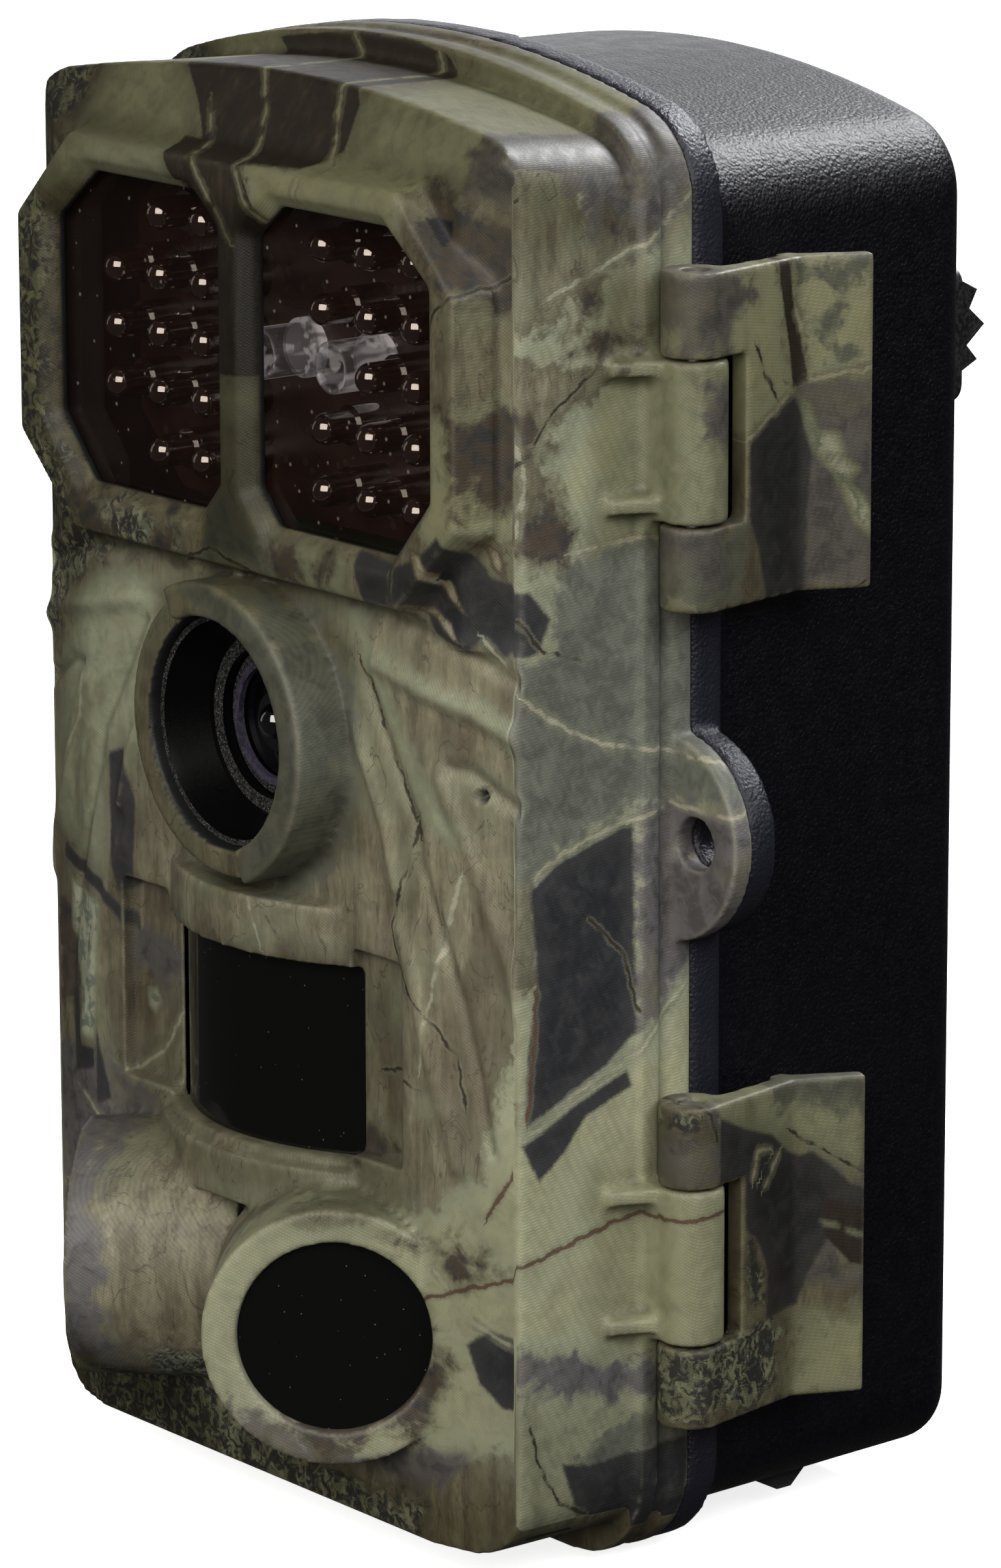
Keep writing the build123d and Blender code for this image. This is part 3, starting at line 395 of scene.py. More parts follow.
LOWER["twig"] = [[(8.6, 38.8), (12, 36.4), (17.8, 32.4)], [(-6, 44.6), (-3, 43), (-2.4, 40.4)]]
COLOURS = (
    "sage", "yellow", "bark", "grey", "purple", "mottle", "smudge", "charcoal", "brown", "pale", "tan"
)
LINES = ("vein", "twig", "rust")
FAR = 9.0  # distances are clipped to this, mm
VERY_FAR = 1e9
LEVEL_EDGE = 1e-9  # an outline's edge with less rise than this counts as level

# ---- relief of the front face, right half (mm): path, height, width ----
RELIEF = [
    ([(15.5, 89.9), (18.9, 89.8), (25.4, 89), (33, 86.9), (38.6, 84.4)], -0.5, 0.8),
    ([(19, 84.8), (25.4, 83.4), (31.3, 82.2), (35.4, 80.7), (38.6, 79)], 0.75, 1.1),
    ([(28.7, 76.6), (31.3, 76.4), (34.2, 74.7), (38.6, 72.6)], -0.6, 0.7),
    ([(12.4, 82), (15.4, 78.1), (17.7, 74), (20.1, 69.2), (21.7, 63.9)], 0.6, 0.9),
    ([(22.1, 59.7), (23.9, 55.4), (26, 49.2), (28.3, 43.1), (29.5, 38.4)], 0.45, 1.1),
    ([(17.4, 82.9), (19.8, 78.5), (22.4, 74.1), (24.5, 70.7), (25.4, 66.4), (27.7, 60.7), (30.1, 54.5),
      (31.9, 47.7), (33.3, 40.4)], -0.5, 0.6),
    ([(28, 75.2), (29.8, 71.5), (31.9, 67.4), (33.6, 62.9), (35.7, 58.4), (36.7, 54.2)], 0.5, 1.0),
]

# ---- geometry helpers ----


def segment_gap(points, a, b):
    """Distance from points to the straight piece between a and b."""
    edge = b - a
    rel = points - a
    share = np.clip(rel @ edge / (edge @ edge), 0, 1)
    return np.linalg.norm(rel - share[:, None] * edge, axis=1)


def signed_area_distance(points, outline):
    """Distance from points to a closed outline, negative inside."""
    ring = np.array(outline, float)
    best = np.full(len(points), VERY_FAR)
    inside = np.zeros(len(points), bool)
    for a, b in zip(ring, np.roll(ring, -1, axis=0)):
        best = np.minimum(best, segment_gap(points, a, b))
        crosses = (a[1] > points[:, 1]) != (b[1] > points[:, 1])
        rise = b[1] - a[1] if abs(b[1] - a[1]) > LEVEL_EDGE else LEVEL_EDGE
        at = a[0] + (points[:, 1] - a[1]) * (b[0] - a[0]) / rise
        inside ^= crosses & (points[:, 0] < at)
    return np.where(inside, -best, best)


def path_distance(points, path):
    """Distance from points to an open path, plain and with the sign of its side."""
    line = np.array(path, float)
    best = np.full(len(points), VERY_FAR)
    signed = np.full(len(points), VERY_FAR)
    for a, b in zip(line[:-1], line[1:]):
        edge = b - a
        rel = points - a
        gap = segment_gap(points, a, b)
        side = np.sign(edge[0] * rel[:, 1] - edge[1] * rel[:, 0])
        nearer = gap < best
        best = np.where(nearer, gap, best)
        signed = np.where(nearer, gap * side, signed)
    return best, signed


def nearest_area(points, outlines):
    """Distance to the nearest of several outlines, negative inside one."""
    out = np.full(len(points), FAR)
    for outline in outlines:
        out = np.minimum(out, signed_area_distance(points, outline))
    return np.clip(out, -FAR, FAR)


def nearest_path(points, paths):
    """Distance to the nearest of several paths, plain and with the sign of its side."""
    best = np.full(len(points), FAR)
    signed = np.full(len(points), FAR)
    for path in paths:
        gap, side = path_distance(points, path)
        nearer = gap < best
        best = np.where(nearer, gap, best)
        signed = np.where(nearer, side, signed)
    return best, signed


def vectors(mesh, kind):
    """The vertices' places ("co") or directions ("normal") as an array."""
    out = np.zeros(len(mesh.vertices) * 3, np.float32)
    mesh.vertices.foreach_get(kind, out)
    return out.reshape(-1, 3).astype(float)


def set_coords(mesh, points):
    mesh.vertices.foreach_set("co", points.astype(np.float32).ravel())
    mesh.update()


def add_float(mesh, name, values):
    layer = mesh.attributes.new(name, "FLOAT", "POINT")
    layer.data.foreach_set("value", np.asarray(values, np.float32))


def skin_of(node, name, voxel, relax):
    """A fine, evenly meshed copy of a CAD node with its edges softened as a moulding's are."""
    source = nodes[node]
    piece = bpy.data.objects.new(name, source.data.copy())
    bpy.context.scene.collection.objects.link(piece)
    piece.data.materials.clear()
    remesh = piece.modifiers.new("remesh", "REMESH")
    remesh.mode = "VOXEL"
    remesh.voxel_size = voxel * MM
    remesh.use_smooth_shade = True
    smooth = piece.modifiers.new("smooth", "SMOOTH")
    smooth.factor = 0.5
    smooth.iterations = relax
    graph = bpy.context.evaluated_depsgraph_get()
    made = bpy.data.meshes.new_from_object(piece.evaluated_get(graph))
    piece.modifiers.clear()
    piece.data = made
    made.name = name
    return piece


def print_areas(mesh, layout, place):
    """Stores how far each vertex is from every printed area, one layer per colour."""
    for name in COLOURS:
        values = np.full(len(mesh.vertices), FAR)
        for mask, lists in layout:
            values[mask] = nearest_area(place[mask], lists.get(name, []))
        add_float(mesh, "p_" + name, values)


def print_tone_and_shade(mesh, layout, place, level=1.0):
    """Stores at each vertex how dark the colour is made: painted shade, partly the print's own darker
    places.
    """
    values = np.full(len(mesh.vertices), level)
    for mask, spots in layout:
        for outline, share, soft in spots:
            gap = signed_area_distance(place[mask], outline)
            inside = np.clip(0.5 - gap / (2 * soft), 0, 1)
            inside = inside * inside * (3 - 2 * inside)
            values[mask] *= 1 + (share - 1) * inside
    add_float(mesh, "tone", values)


def print_lines(mesh, layout, place):
    """Stores how far each vertex is from the printed lines of each kind, and on which side."""
    for name in LINES:
        best = np.full(len(mesh.vertices), FAR)
        signed = np.full(len(mesh.vertices), FAR)
        for mask, lists in layout:
            best[mask], signed[mask] = nearest_path(place[mask], lists.get(name, []))
        add_float(mesh, name + "_gap", best)
        add_float(mesh, name + "_side", signed)


def microphone_gap(points):
    """Distance of each vertex from the rim of the microphone hole (mm)."""
    return np.hypot(points[:, 0] - MIC[0], points[:, 2] - MIC[1]) - MIC_RADIUS


def carve(points, facing):
    """Raised veins and sunken creases of the moulded front face, the same on both halves."""
    where = np.stack([np.abs(points[:, 0]), points[:, 2]], axis=1)
    outside_hood = np.hypot(points[:, 0], points[:, 2] - LENS_Z) - HOOD_R
    on_face = (facing < RELIEF_FACING) & (points[:, 1] < -SEAM - RELIEF_FRONT)
    mask = on_face & (outside_hood > 0) & (points[:, 2] < RELIEF_TOP)
    for path, height, width in RELIEF:
        gap, _ = path_distance(where[mask], path)
        bump = height * np.exp(-((gap / width) ** 2))
        fade = np.clip(outside_hood[mask] / RELIEF_FADE, 0, 1)
        points[mask, 1] -= bump * fade
    points[mask, 1] += MIC_DEPTH * np.clip(0.5 - microphone_gap(points[mask]) / MIC_EDGE, 0, 1)
    return points


# ---- skins ----


def stand_for(piece, node, body, make, slot):
    """Puts a finished skin in a CAD node's stead: the body it moves with, its finish and its slot."""
    piece.data.materials.append(make(slot))
    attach(piece, body)
    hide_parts(node)


def front_skin():
    """The camouflaged front half of the case."""
    piece = skin_of("front_shell", "front_skin", SHELL_VOXEL, SHELL_SOFTENING)
    mesh = piece.data
    points = vectors(mesh, "co") / MM
    points = carve(points, vectors(mesh, "normal")[:, 1])
    set_coords(mesh, points * MM)
    behind = points[:, 1] + SEAM
    right = points[:, 0] > SIDE_START
    left = points[:, 0] < -SIDE_START
    front = ~right & ~left
    place = np.stack([points[:, 0], points[:, 2]], axis=1)
    place[right] = np.stack([behind[right], points[right, 2]], axis=1)
    place[left] = np.stack([behind[left], SIDE_FLIP - points[left, 2]], axis=1)
    sides = right | left
    print_areas(mesh, [(front, FRONT), (sides, SIDE)], place)
    print_lines(mesh, [(front, FRONT), (sides, SIDE)], place)
    print_tone_and_shade(mesh, [(front, FRONT_SHADE_AND_TONES), (sides, SIDE_SHADE_AND_TONES)], place)
    add_float(mesh, "bare", unprinted(points, behind))
    stand_for(piece, "front_shell", "front_door", camouflage, "camo_shell")


def unprinted(points, behind):
    """1 where the moulding is bare black plastic; the dark spot on the microphone hole is partly bare
    plastic and partly painted shade of the hole's depth.

    Each hollow is given by its half width, its lowest and highest Z and how far it reaches from the seam:
    the two steps of the inside, the wells of the flash and the lens, and the microphone hole.
    """
    x = points[:, 0]
    z = points[:, 2]
    top = INSIDE_TOP - INSIDE_DROP * (x / INSIDE_HALF) ** 2
    wide = (np.abs(x) < 35.1) & (z > 1.9) & (z < top) & (behind > -18.1)
    deep = (np.abs(x) < 26.4) & (z > 3.7) & (z < 128.3) & (behind > -20.78)
    flash = (np.abs(x) < 30.3) & (z > 94.4) & (z < 127.6) & (behind > -23.9) & (behind < -15)
    lens = (np.hypot(x, z - LENS_Z) < LENS_WELL) & (behind > -27.2)
    # Partly painted shade: a dark spot a little wider than the microphone hole stands for its depth.
    hole = np.clip(0.6 - microphone_gap(points) / MIC_EDGE, 0, 1) * (behind < -15)
    return np.maximum((wide | deep | flash | lens).astype(float), hole)


def lever_skin(node, name, layout, body):
    """One camouflaged latch lever."""
    piece = skin_of(node, name, LEVER_VOXEL, LEVER_SOFTENING)
    mesh = piece.data
    points = vectors(mesh, "co") / MM
    place = np.stack([points[:, 1] + SEAM, points[:, 2]], axis=1)
    everywhere = np.ones(len(points), bool)
    print_areas(mesh, [(everywhere, layout)], place)
    print_lines(mesh, [(everywhere, layout)], place)
    # The levers' colour is made evenly darker, to 0.55 of the full tone.
    print_tone_and_shade(mesh, [], place, 0.55)
    add_float(mesh, "bare", np.zeros(len(points)))
    stand_for(piece, node, body, camouflage, "camo_lever")


def rear_skin():
    """The black rear half of the case."""
    piece = skin_of("rear_shell", "rear_skin", CASE_VOXEL, SHELL_SOFTENING)
    stand_for(piece, "rear_shell", "rear_case", black_case, "black_case")


# ---- shader helpers ----


class Graph:
    """A material's node tree with short calls; every call returns an output socket."""

    def __init__(self, name):
        self.material = bpy.data.materials.new(name)
        self.material.use_nodes = True
        self.tree = self.material.node_tree
        self.tree.nodes.clear()

    def add(self, kind, inputs=None, **settings):
        node = self.tree.nodes.new(kind)
        for key, value in settings.items():
            setattr(node, key, value)
        for key, value in (inputs or {}).items():
            self.feed(node.inputs[key], value)
        return node

    def feed(self, socket, value):
        if isinstance(value, bpy.types.NodeSocket):
            self.tree.links.new(value, socket)
        elif isinstance(value, tuple) and len(value) == 3 and socket.type == "RGBA":
            socket.default_value = (*value, 1.0)
        else:
            socket.default_value = value

    def math(self, operation, a, b=0.0):
        return self.add("ShaderNodeMath", {0: a, 1: b}, operation=operation).outputs[0]

    def times(self, a, b):
        return self.math("MULTIPLY", a, b)

    def plus(self, a, b):
        return self.math("ADD", a, b)

    def minus(self, a, b):
        return self.math("SUBTRACT", a, b)

    def geometry(self, output):
        return self.add("ShaderNodeNewGeometry").outputs[output]

    def axes(self, vector):
        """The X, Y and Z outputs of a vector."""
        return self.add("ShaderNodeSeparateXYZ", {0: vector}).outputs

    def attribute(self, name):
        return self.add("ShaderNodeAttribute", attribute_name=name).outputs["Fac"]

    def place(self, stretch=(1.0, 1.0, 1.0), turn=(0.0, 0.0, 0.0)):
        """Object coordinates in millimetres, scaled and turned."""
        source = self.add("ShaderNodeTexCoord").outputs["Object"]
        scale = tuple(s / MM for s in stretch)
        inputs = {"Vector": source, "Scale": scale, "Rotation": turn}
        return self.add("ShaderNodeMapping", inputs).outputs[0]

    def leaning(self, squash, lean):
        """Places for a pattern that is drawn out upwards and leans to the side."""
        return self.place((1.0, 1.0, squash), (0.0, lean, 0.0))

    def noise(self, where, scale, detail=3.0, rough=0.55, twist=0.0):
        inputs = {"Vector": where, "Scale": scale, "Detail": detail}
        inputs |= {"Roughness": rough, "Distortion": twist}
        return self.add("ShaderNodeTexNoise", inputs).outputs["Fac"]

    def cells(self, where, scale):
        inputs = {"Vector": where, "Scale": scale}
        return self.add("ShaderNodeTexVoronoi", inputs, feature="F1").outputs["Distance"]

    def bands(self, where, scale, along):
        inputs = {"Vector": where, "Scale": scale, "Distortion": 0.4}
        node = self.add("ShaderNodeTexWave", inputs, wave_type="BANDS", bands_direction=along)
        return node.outputs["Fac"]

    def darken(self, colour, level):
        return self.add("ShaderNodeHueSaturation", {"Color": colour, "Value": level}).outputs[0]

    def remap(self, value, low, high, to_low=0.0, to_high=1.0, smooth=True):
        node = self.add("ShaderNodeMapRange")
        node.interpolation_type = "SMOOTHSTEP" if smooth else "LINEAR"
        for socket, item in zip(node.inputs, (value, low, high, to_low, to_high)):
            self.feed(socket, item)
        return node.outputs[0]

    def mix(self, share, a, b, blend="MIX"):
        node = self.add("ShaderNodeMix", data_type="RGBA", blend_type=blend)
        for socket, value in ((0, share), (6, a), (7, b)):  # the factor and the two colours
            self.feed(node.inputs[socket], value)
        return node.outputs[2]

    def tinge(self, noise, low, high, under, over, most=1.0):
        """Shades one colour towards another where a noise rises from low to high."""
        return self.mix(self.remap(noise, low, high, 0.0, most), under, over)

    def bump(self, height, strength, distance):
        inputs = {"Height": height, "Strength": strength, "Distance": distance * MM}
        return self.add("ShaderNodeBump", inputs).outputs[0]

    def surface(self, **values):
        inputs = {key.replace("_", " "): value for key, value in values.items()}
        return self.add("ShaderNodeBsdfPrincipled", inputs).outputs[0]

    def finish(self, colour, rough, normal, **more):
        return self.done(self.surface(Base_Color=colour, Roughness=rough, Normal=normal, **more))

    def blend(self, share, a, b):
        return self.add("ShaderNodeMixShader", {0: share, 1: a, 2: b}).outputs[0]

    def done(self, shader):
        self.add("ShaderNodeOutputMaterial", {"Surface": shader})
        return self.material


# ---- materials ----


def woven(g):
    """The fine dot screen of the print, running aslant."""
    turned = g.place((1.0, 1.0, 1.0), (0.0, 0.72, 0.25))
    threads = g.bands(turned, 1.45, "X")
    across = g.bands(turned, 1.45, "Z")
    return g.times(threads, across)


def bark_print(g, patches):
    """Weathered bark: faint upright streaks, greenish stains and a few fine cracks."""
    grain = g.noise(g.leaning(0.16, 0.16), 0.55, 4.0, 0.55, 0.5)
    fine = g.noise(g.leaning(0.40, 0.16), 2.2, 4.0, 0.6, 0.3)
    streaks = g.plus(g.times(grain, 0.7), g.times(fine, 0.3))
    bark = g.tinge(streaks, 0.36, 0.60, BARK_DARK, BARK)
    bark = g.tinge(streaks, 0.56, 0.72, bark, BARK_LIGHT, 0.7)
    bark = g.tinge(patches, 0.42, 0.62, bark, SAGE_DEEP, 0.55)
    veins = g.noise(g.leaning(0.40, -0.30), 0.22, 3.0, 0.55, 1.0)
    crack = g.remap(g.math("ABSOLUTE", g.minus(veins, 0.5)), 0.0, 0.010, 0.5, 0.0)
    return g.mix(crack, bark, BROWN), streaks


def layer(g, under, kind, over, rim, edge, width, deep):
    """Lays one printed colour over the rest: ragged outline, its rim shading into its middle."""
    ragged = g.plus(g.attribute("p_" + kind), edge)
    share = g.remap(ragged, -width, width, 1.0, 0.0)
    middle = g.remap(ragged, -deep, 0.0, 1.0, 0.0)
    return g.mix(share, under, g.mix(middle, rim, over))


def stroke(g, under, kind, over, half, soft_by, strength, wobble):
    """Draws a thin printed line of this half width along the stored paths."""
    side = g.plus(g.attribute(kind + "_side"), wobble)
    line = g.remap(g.math("ABSOLUTE", side), half, half + soft_by, 1.0, 0.0)
    near = g.remap(g.attribute(kind + "_gap"), 0.9, 1.3, 1.0, 0.0)
    return g.mix(g.times(g.times(line, near), strength), under, over)


def leaf_print(g, where, flecks, broad):
    """All the printed patches, laid over one another from the palest to the darkest."""
    patches = g.noise(where, 0.11, 3.0, 0.5, 0.4)
    wide_edge = g.times(g.minus(broad, 0.5), 7.0)
    rough_edge = g.times(g.minus(g.noise(where, 0.8, 4.0, 0.66), 0.5), 2.6)
    fine_edge = g.times(g.minus(g.noise(where, 3.0, 3.0, 0.6), 0.5), 0.7)
    soft = g.plus(g.plus(wide_edge, rough_edge), fine_edge)
    crisp = g.plus(g.times(rough_edge, 0.16), g.times(fine_edge, 0.5))
    bark, grain = bark_print(g, patches)
    drift = g.noise(g.leaning(0.45, 0.35), 0.115, 3.0, 0.55, 0.8)
    smoke = g.remap(drift, 0.50, 0.66, 0.0, 0.55)

    sage = g.tinge(flecks, 0.42, 0.66, SAGE, SAGE_DEEP, 0.6)
    sage = g.tinge(broad, 0.50, 0.70, sage, BARK, 0.55)
    sage = g.mix(smoke, sage, BARK_DARK)
    bark = g.mix(smoke, bark, BROWN_LIGHT)
    yellow = g.tinge(flecks, 0.46, 0.68, YELLOW, YELLOW_DEEP, 0.6)
    yellow = g.tinge(patches, 0.44, 0.62, yellow, SAGE, 0.45)
    yellow = g.tinge(broad, 0.54, 0.70, yellow, SAGE_DEEP, 0.5)
    yellow = g.mix(g.times(smoke, 0.6), yellow, BARK)
    grey = g.tinge(flecks, 0.40, 0.64, GREY, GREY_DEEP)
    purple = g.tinge(flecks, 0.42, 0.64, PURPLE, PURPLE_DEEP)
    purple = g.tinge(patches, 0.50, 0.64, purple, BARK, 0.5)
    spots = g.noise(g.leaning(1.0, 0.6), 0.75, 5.0, 0.66, 1.2)
    blots = g.plus(g.times(spots, 0.75), g.times(grain, 0.25))
    light_blot = g.tinge(flecks, 0.45, 0.60, SAGE_DEEP, SAGE)
    mottle = g.tinge(blots, 0.46, 0.56, CHARCOAL_LIGHT, light_blot)
    mottle = g.tinge(g.noise(where, 0.8, 3.0, 0.6), 0.60, 0.68, mottle, TEAL, 0.55)
    umber = g.tinge(flecks, 0.40, 0.66, BROWN_LIGHT, CHARCOAL_LIGHT)
    charcoal = g.tinge(flecks, 0.42, 0.72, CHARCOAL, CHARCOAL_LIGHT)
    brown = g.tinge(grain, 0.45, 0.75, BROWN, BROWN_LIGHT)
    pale = g.tinge(flecks, 0.46, 0.60, PALE, g.mix(0.5, SAGE_DEEP, TEAL))
    tan = g.tinge(flecks, 0.42, 0.62, TAN, TAN_DEEP)

    colour = bark
    for printed in (
        ("sage", sage, SAGE_DEEP, soft, 0.9, 3.0),
        ("yellow", yellow, SAGE, soft, 0.8, 2.5),
        ("bark", bark, BARK_DARK, soft, 0.8, 1.5),
        ("grey", grey, GREY, soft, 0.8, 2.0),
        ("purple", purple, PURPLE, soft, 0.9, 2.0),
        ("mottle", mottle, BARK_DARK, soft, 1.0, 2.0),
        ("smudge", umber, BARK_DARK, soft, 1.3, 1.6),
        ("charcoal", charcoal, CHARCOAL_LIGHT, crisp, 0.30, 2.5),
        ("brown", brown, BROWN, crisp, 0.16, 2.5),
        ("pale", pale, SAGE_DEEP, crisp, 0.30, 1.0),
        ("tan", tan, BROWN_LIGHT, crisp, 0.20, 0.6),
    ):
        colour = layer(g, colour, *printed)
    return colour


def line_print(g, where, colour):
    """Veins, twigs and reddish cracks, fading in and out along their length."""
    wobble = g.times(g.minus(g.noise(where, 0.6, 4.0, 0.6), 0.5), 1.2)
    fade = g.remap(g.noise(where, 0.45, 2.0, 0.5), 0.36, 0.54, 0.12, 0.95)
    for line in (
        ("vein", SAGE_DEEP, 0.42, 0.40, g.times(fade, 0.6)),
        ("vein", TAN, 0.08, 0.24, g.times(fade, 0.75)),
        ("twig", SAGE_DEEP, 0.26, 0.30, g.times(fade, 0.4)),
        ("twig", BROWN, 0.08, 0.16, fade),
        ("rust", SAGE_DEEP, 0.30, 0.34, 0.4),
        ("rust", RUST, 0.12, 0.18, 0.9),
    ):
        colour = stroke(g, colour, *line, wobble)
    return colour


def camouflage(name):
    """Leaf and bark print under a fine woven dot screen, on matt moulded plastic."""
    g = Graph(name)
    where = g.place()
    flecks = g.noise(where, 0.55, 5.0, 0.60, 0.6)
    broad = g.noise(where, 0.30, 4.0, 0.6, 0.5)
    colour = line_print(g, where, leaf_print(g, where, flecks, broad))
    weave = woven(g)
    point = g.geometry("Pointiness")
    worn = g.times(g.remap(point, 0.512, 0.56), g.remap(flecks, 0.36, 0.60, 0.10, 0.50))
    colour = g.mix(worn, colour, BARK_LIGHT)
    # Painted shade: creases and hollows, where the pointiness is low, are darkened towards brown.
    colour = g.mix(g.remap(point, 0.445, 0.493, 0.50, 0.0), colour, BROWN)
    # The stored tone brings in the painted shade and the print's own darker places; the dot screen and a
    # broad noise vary it.
    level = g.times(g.attribute("tone"), g.remap(weave, 0.0, 0.7, 0.88, 1.14, False))
    level = g.times(level, g.remap(broad, 0.32, 0.68, 0.84, 1.14, False))
    colour = g.darken(colour, level)
    # Painted shade is also yellowed: where the stored tone is dark, the colour is multiplied by a
    # yellow-brown tint.
    shade_warmth = g.remap(g.attribute("tone"), 0.3, 0.9, 1.0, 0.0)
    colour = g.mix(shade_warmth, colour, (1.0, 0.93, 0.70), "MULTIPLY")
    colour = g.mix(g.attribute("bare"), colour, BARE)
    grit = g.noise(where, 6.0, 2.0, 0.5)
    height = g.plus(g.times(weave, 0.5), g.times(grit, 0.9))
    rough = g.remap(flecks, 0.3, 0.7, 0.44, 0.58, False)
    normal = g.bump(height, 0.5, 0.03)
    return g.finish(colour, rough, normal, Specular_IOR_Level=0.38)


def black_case(name):
    """Black spark-eroded plastic: fine glittering grain, faintly blue."""
    g = Graph(name)
    where = g.place()
    grain = g.noise(where, 2.3, 4.0, 0.7)
    sparkle = g.cells(where, 2.6)
    wide = g.noise(where, 0.06, 3.0, 0.5)
    height = g.minus(grain, g.times(sparkle, 0.55))
    colour = g.tinge(grain, 0.42, 0.66, (0.0010, 0.0009, 0.0022), (0.0036, 0.0032, 0.0064))
    colour = g.tinge(wide, 0.45, 0.65, colour, (0.0026, 0.0024, 0.0046), 0.5)
    along = g.axes(where)["Y"]
    edge = STRIP_END - SEAM
    colour = g.mix(g.remap(along, edge, edge + 0.2, 1.0, 0.0), colour, (0.012, 0.012, 0.020))
    point = g.geometry("Pointiness")
    rub = g.times(g.remap(point, 0.52, 0.56, 0.0, 0.5), g.remap(grain, 0.4, 0.6))
    colour = g.mix(rub, colour, (0.030, 0.030, 0.036))
    rough = g.remap(g.noise(where, 0.5, 3.0), 0.35, 0.65, 0.28, 0.36, False)
    normal = g.bump(height, 0.8, 0.15)
    return g.finish(colour, rough, normal, Specular_IOR_Level=0.42)


def moulded(name, colour, rough, grain, depth, level=0.4):
    """Moulded plastic or rubber with mottled tone, uneven gloss, fine grain and rubbed edges."""
    g = Graph(name)
    where = g.place()
    tone = g.noise(where, 0.35, 4.0, 0.6)
    fine = g.noise(where, grain, 3.0, 0.6)
    dark = tuple(0.72 * c for c in colour)
    light = tuple(min(1.0, 1.35 * c + 0.004) for c in colour)
    shade = g.tinge(tone, 0.35, 0.65, dark, light)
    point = g.geometry("Pointiness")
    rub = g.times(g.remap(point, 0.52, 0.58, 0.0, 0.5), g.remap(fine, 0.45, 0.6))
    worn = tuple(min(1.0, 1.8 * c + 0.03) for c in colour)
    shade = g.mix(rub, shade, worn)
    gloss = g.remap(fine, 0.3, 0.7, rough * 0.85, min(1.0, rough * 1.2), False)
    normal = g.bump(fine, 0.5, depth)
    return g.finish(shade, gloss, normal, Specular_IOR_Level=level)


def metal(name, colour, rough):
    """Brushed or plated metal with fine lines, stains and dulled spots."""
    g = Graph(name)
    lines = g.noise(g.place((0.25, 3.0, 3.0)), 2.0, 4.0, 0.7)
    stain = g.noise(g.place(), 0.4, 4.0, 0.6)
    dull = tuple(0.62 * c for c in colour)
    shade = g.tinge(stain, 0.40, 0.68, colour, dull)
    gloss = g.remap(stain, 0.35, 0.7, rough * 0.8, rough * 1.5, False)
    normal = g.bump(lines, 0.3, 0.015)
    return g.finish(shade, gloss, normal, Metallic=1.0)


def tinted(name, colour, haze, clear):
    """Clear or smoked plastic you look through: tinted, with a veil of dust and a sharp gloss."""
    g = Graph(name)
    where = g.place()
    specks = g.cells(where, 0.42)
    dust = g.remap(specks, 0.05, 0.11, 1.0, 0.0)
    veil = g.remap(g.noise(where, 0.15, 4.0), 0.3, 0.7, 0.6, 1.4, False)
    through = g.add("ShaderNodeBsdfTransparent", {0: colour})
    cloudy = g.add("ShaderNodeBsdfDiffuse", {0: g.mix(dust, haze, (0.5, 0.5, 0.48))})
    share = g.plus(g.times(veil, clear), g.times(dust, 0.25))
    body = g.blend(share, through.outputs[0], cloudy.outputs[0])
    wave = g.bump(g.noise(where, 0.09, 2.0), 0.25, 0.05)
    rough = g.remap(veil, 0.6, 1.4, 0.03, 0.075, False)
    gloss = g.add("ShaderNodeBsdfGlossy", {"Roughness": rough, "Normal": wave})
    edge = g.add("ShaderNodeFresnel", {"IOR": 1.45, "Normal": wave})
    outer = g.minus(1.0, g.geometry("Backfacing"))
    return g.done(g.blend(g.times(edge.outputs[0], outer), body, gloss.outputs[0]))


def glossy_black(name, colour, rough, dust_share):
    """Polished black window with dust specks and a faint waviness."""
    g = Graph(name)
    where = g.place()
    specks = g.cells(where, 0.9)
    dust = g.times(g.remap(specks, 0.04, 0.07, 1.0, 0.0), dust_share)
    shade = g.mix(dust, colour, (0.20, 0.20, 0.19))
    smear = g.noise(where, 0.22, 4.0, 0.6)
    gloss = g.remap(smear, 0.35, 0.7, rough, rough * 3.0, False)
    gloss = g.plus(gloss, g.times(dust, 0.5))
    wave = g.bump(smear, 0.2, 0.02)
    return g.finish(shade, gloss, wave, Specular_IOR_Level=0.45)


def front_glass(name):
    """Strongly curved coated glass: black with a hard gloss, and a painted reflection: its colour turns
    violet-grey at glancing angles, round its rim.
    """
    g = Graph(name)
    where = g.place()
    facing = g.add("ShaderNodeLayerWeight", {"Blend": 0.35}).outputs["Facing"]
    # Painted reflection: the colour shades to violet-grey where the glass is seen at a glancing angle.
    ring = g.remap(facing, 0.62, 0.90)
    tone = g.noise(where, 0.8, 2.0)
    shade = g.mix(g.times(ring, 0.6), (0.0015, 0.0015, 0.0025), (0.080, 0.075, 0.105))
    gloss = g.remap(tone, 0.3, 0.7, 0.015, 0.035, False)
    normal = g.bump(g.noise(where, 1.5), 0.1, 0.005)
    return g.finish(shade, gloss, normal, Coat_Weight=1.0, Coat_Roughness=0.02, Coat_IOR=2.0)


def lens_tube(name):
    """Matt black tube; the surfaces that face forward are coarse, with pale specks painted in as glints.
    """
    g = Graph(name)
    where = g.place()
    turn = g.axes(g.geometry("Normal"))
    forward = g.remap(g.times(turn["Y"], -1.0), 0.80, 0.95)
    # Painted glints: pale specks in the colour of the forward faces.
    specks = g.remap(g.cells(where, 4.5), 0.10, 0.22, 1.0, 0.0)
    grain = g.noise(where, 4.0, 3.0, 0.6)
    coarse = g.tinge(grain, 0.40, 0.65, (0.012, 0.012, 0.012), (0.055, 0.055, 0.057))
    coarse = g.mix(specks, coarse, (0.42, 0.40, 0.42))
    shade = g.mix(forward, (0.0016, 0.0016, 0.0018), coarse)
    rough = g.remap(grain, 0.3, 0.7, 0.30, 0.42, False)
    normal = g.bump(g.times(grain, forward), 0.8, 0.10)
    return g.finish(shade, rough, normal, Specular_IOR_Level=0.22)


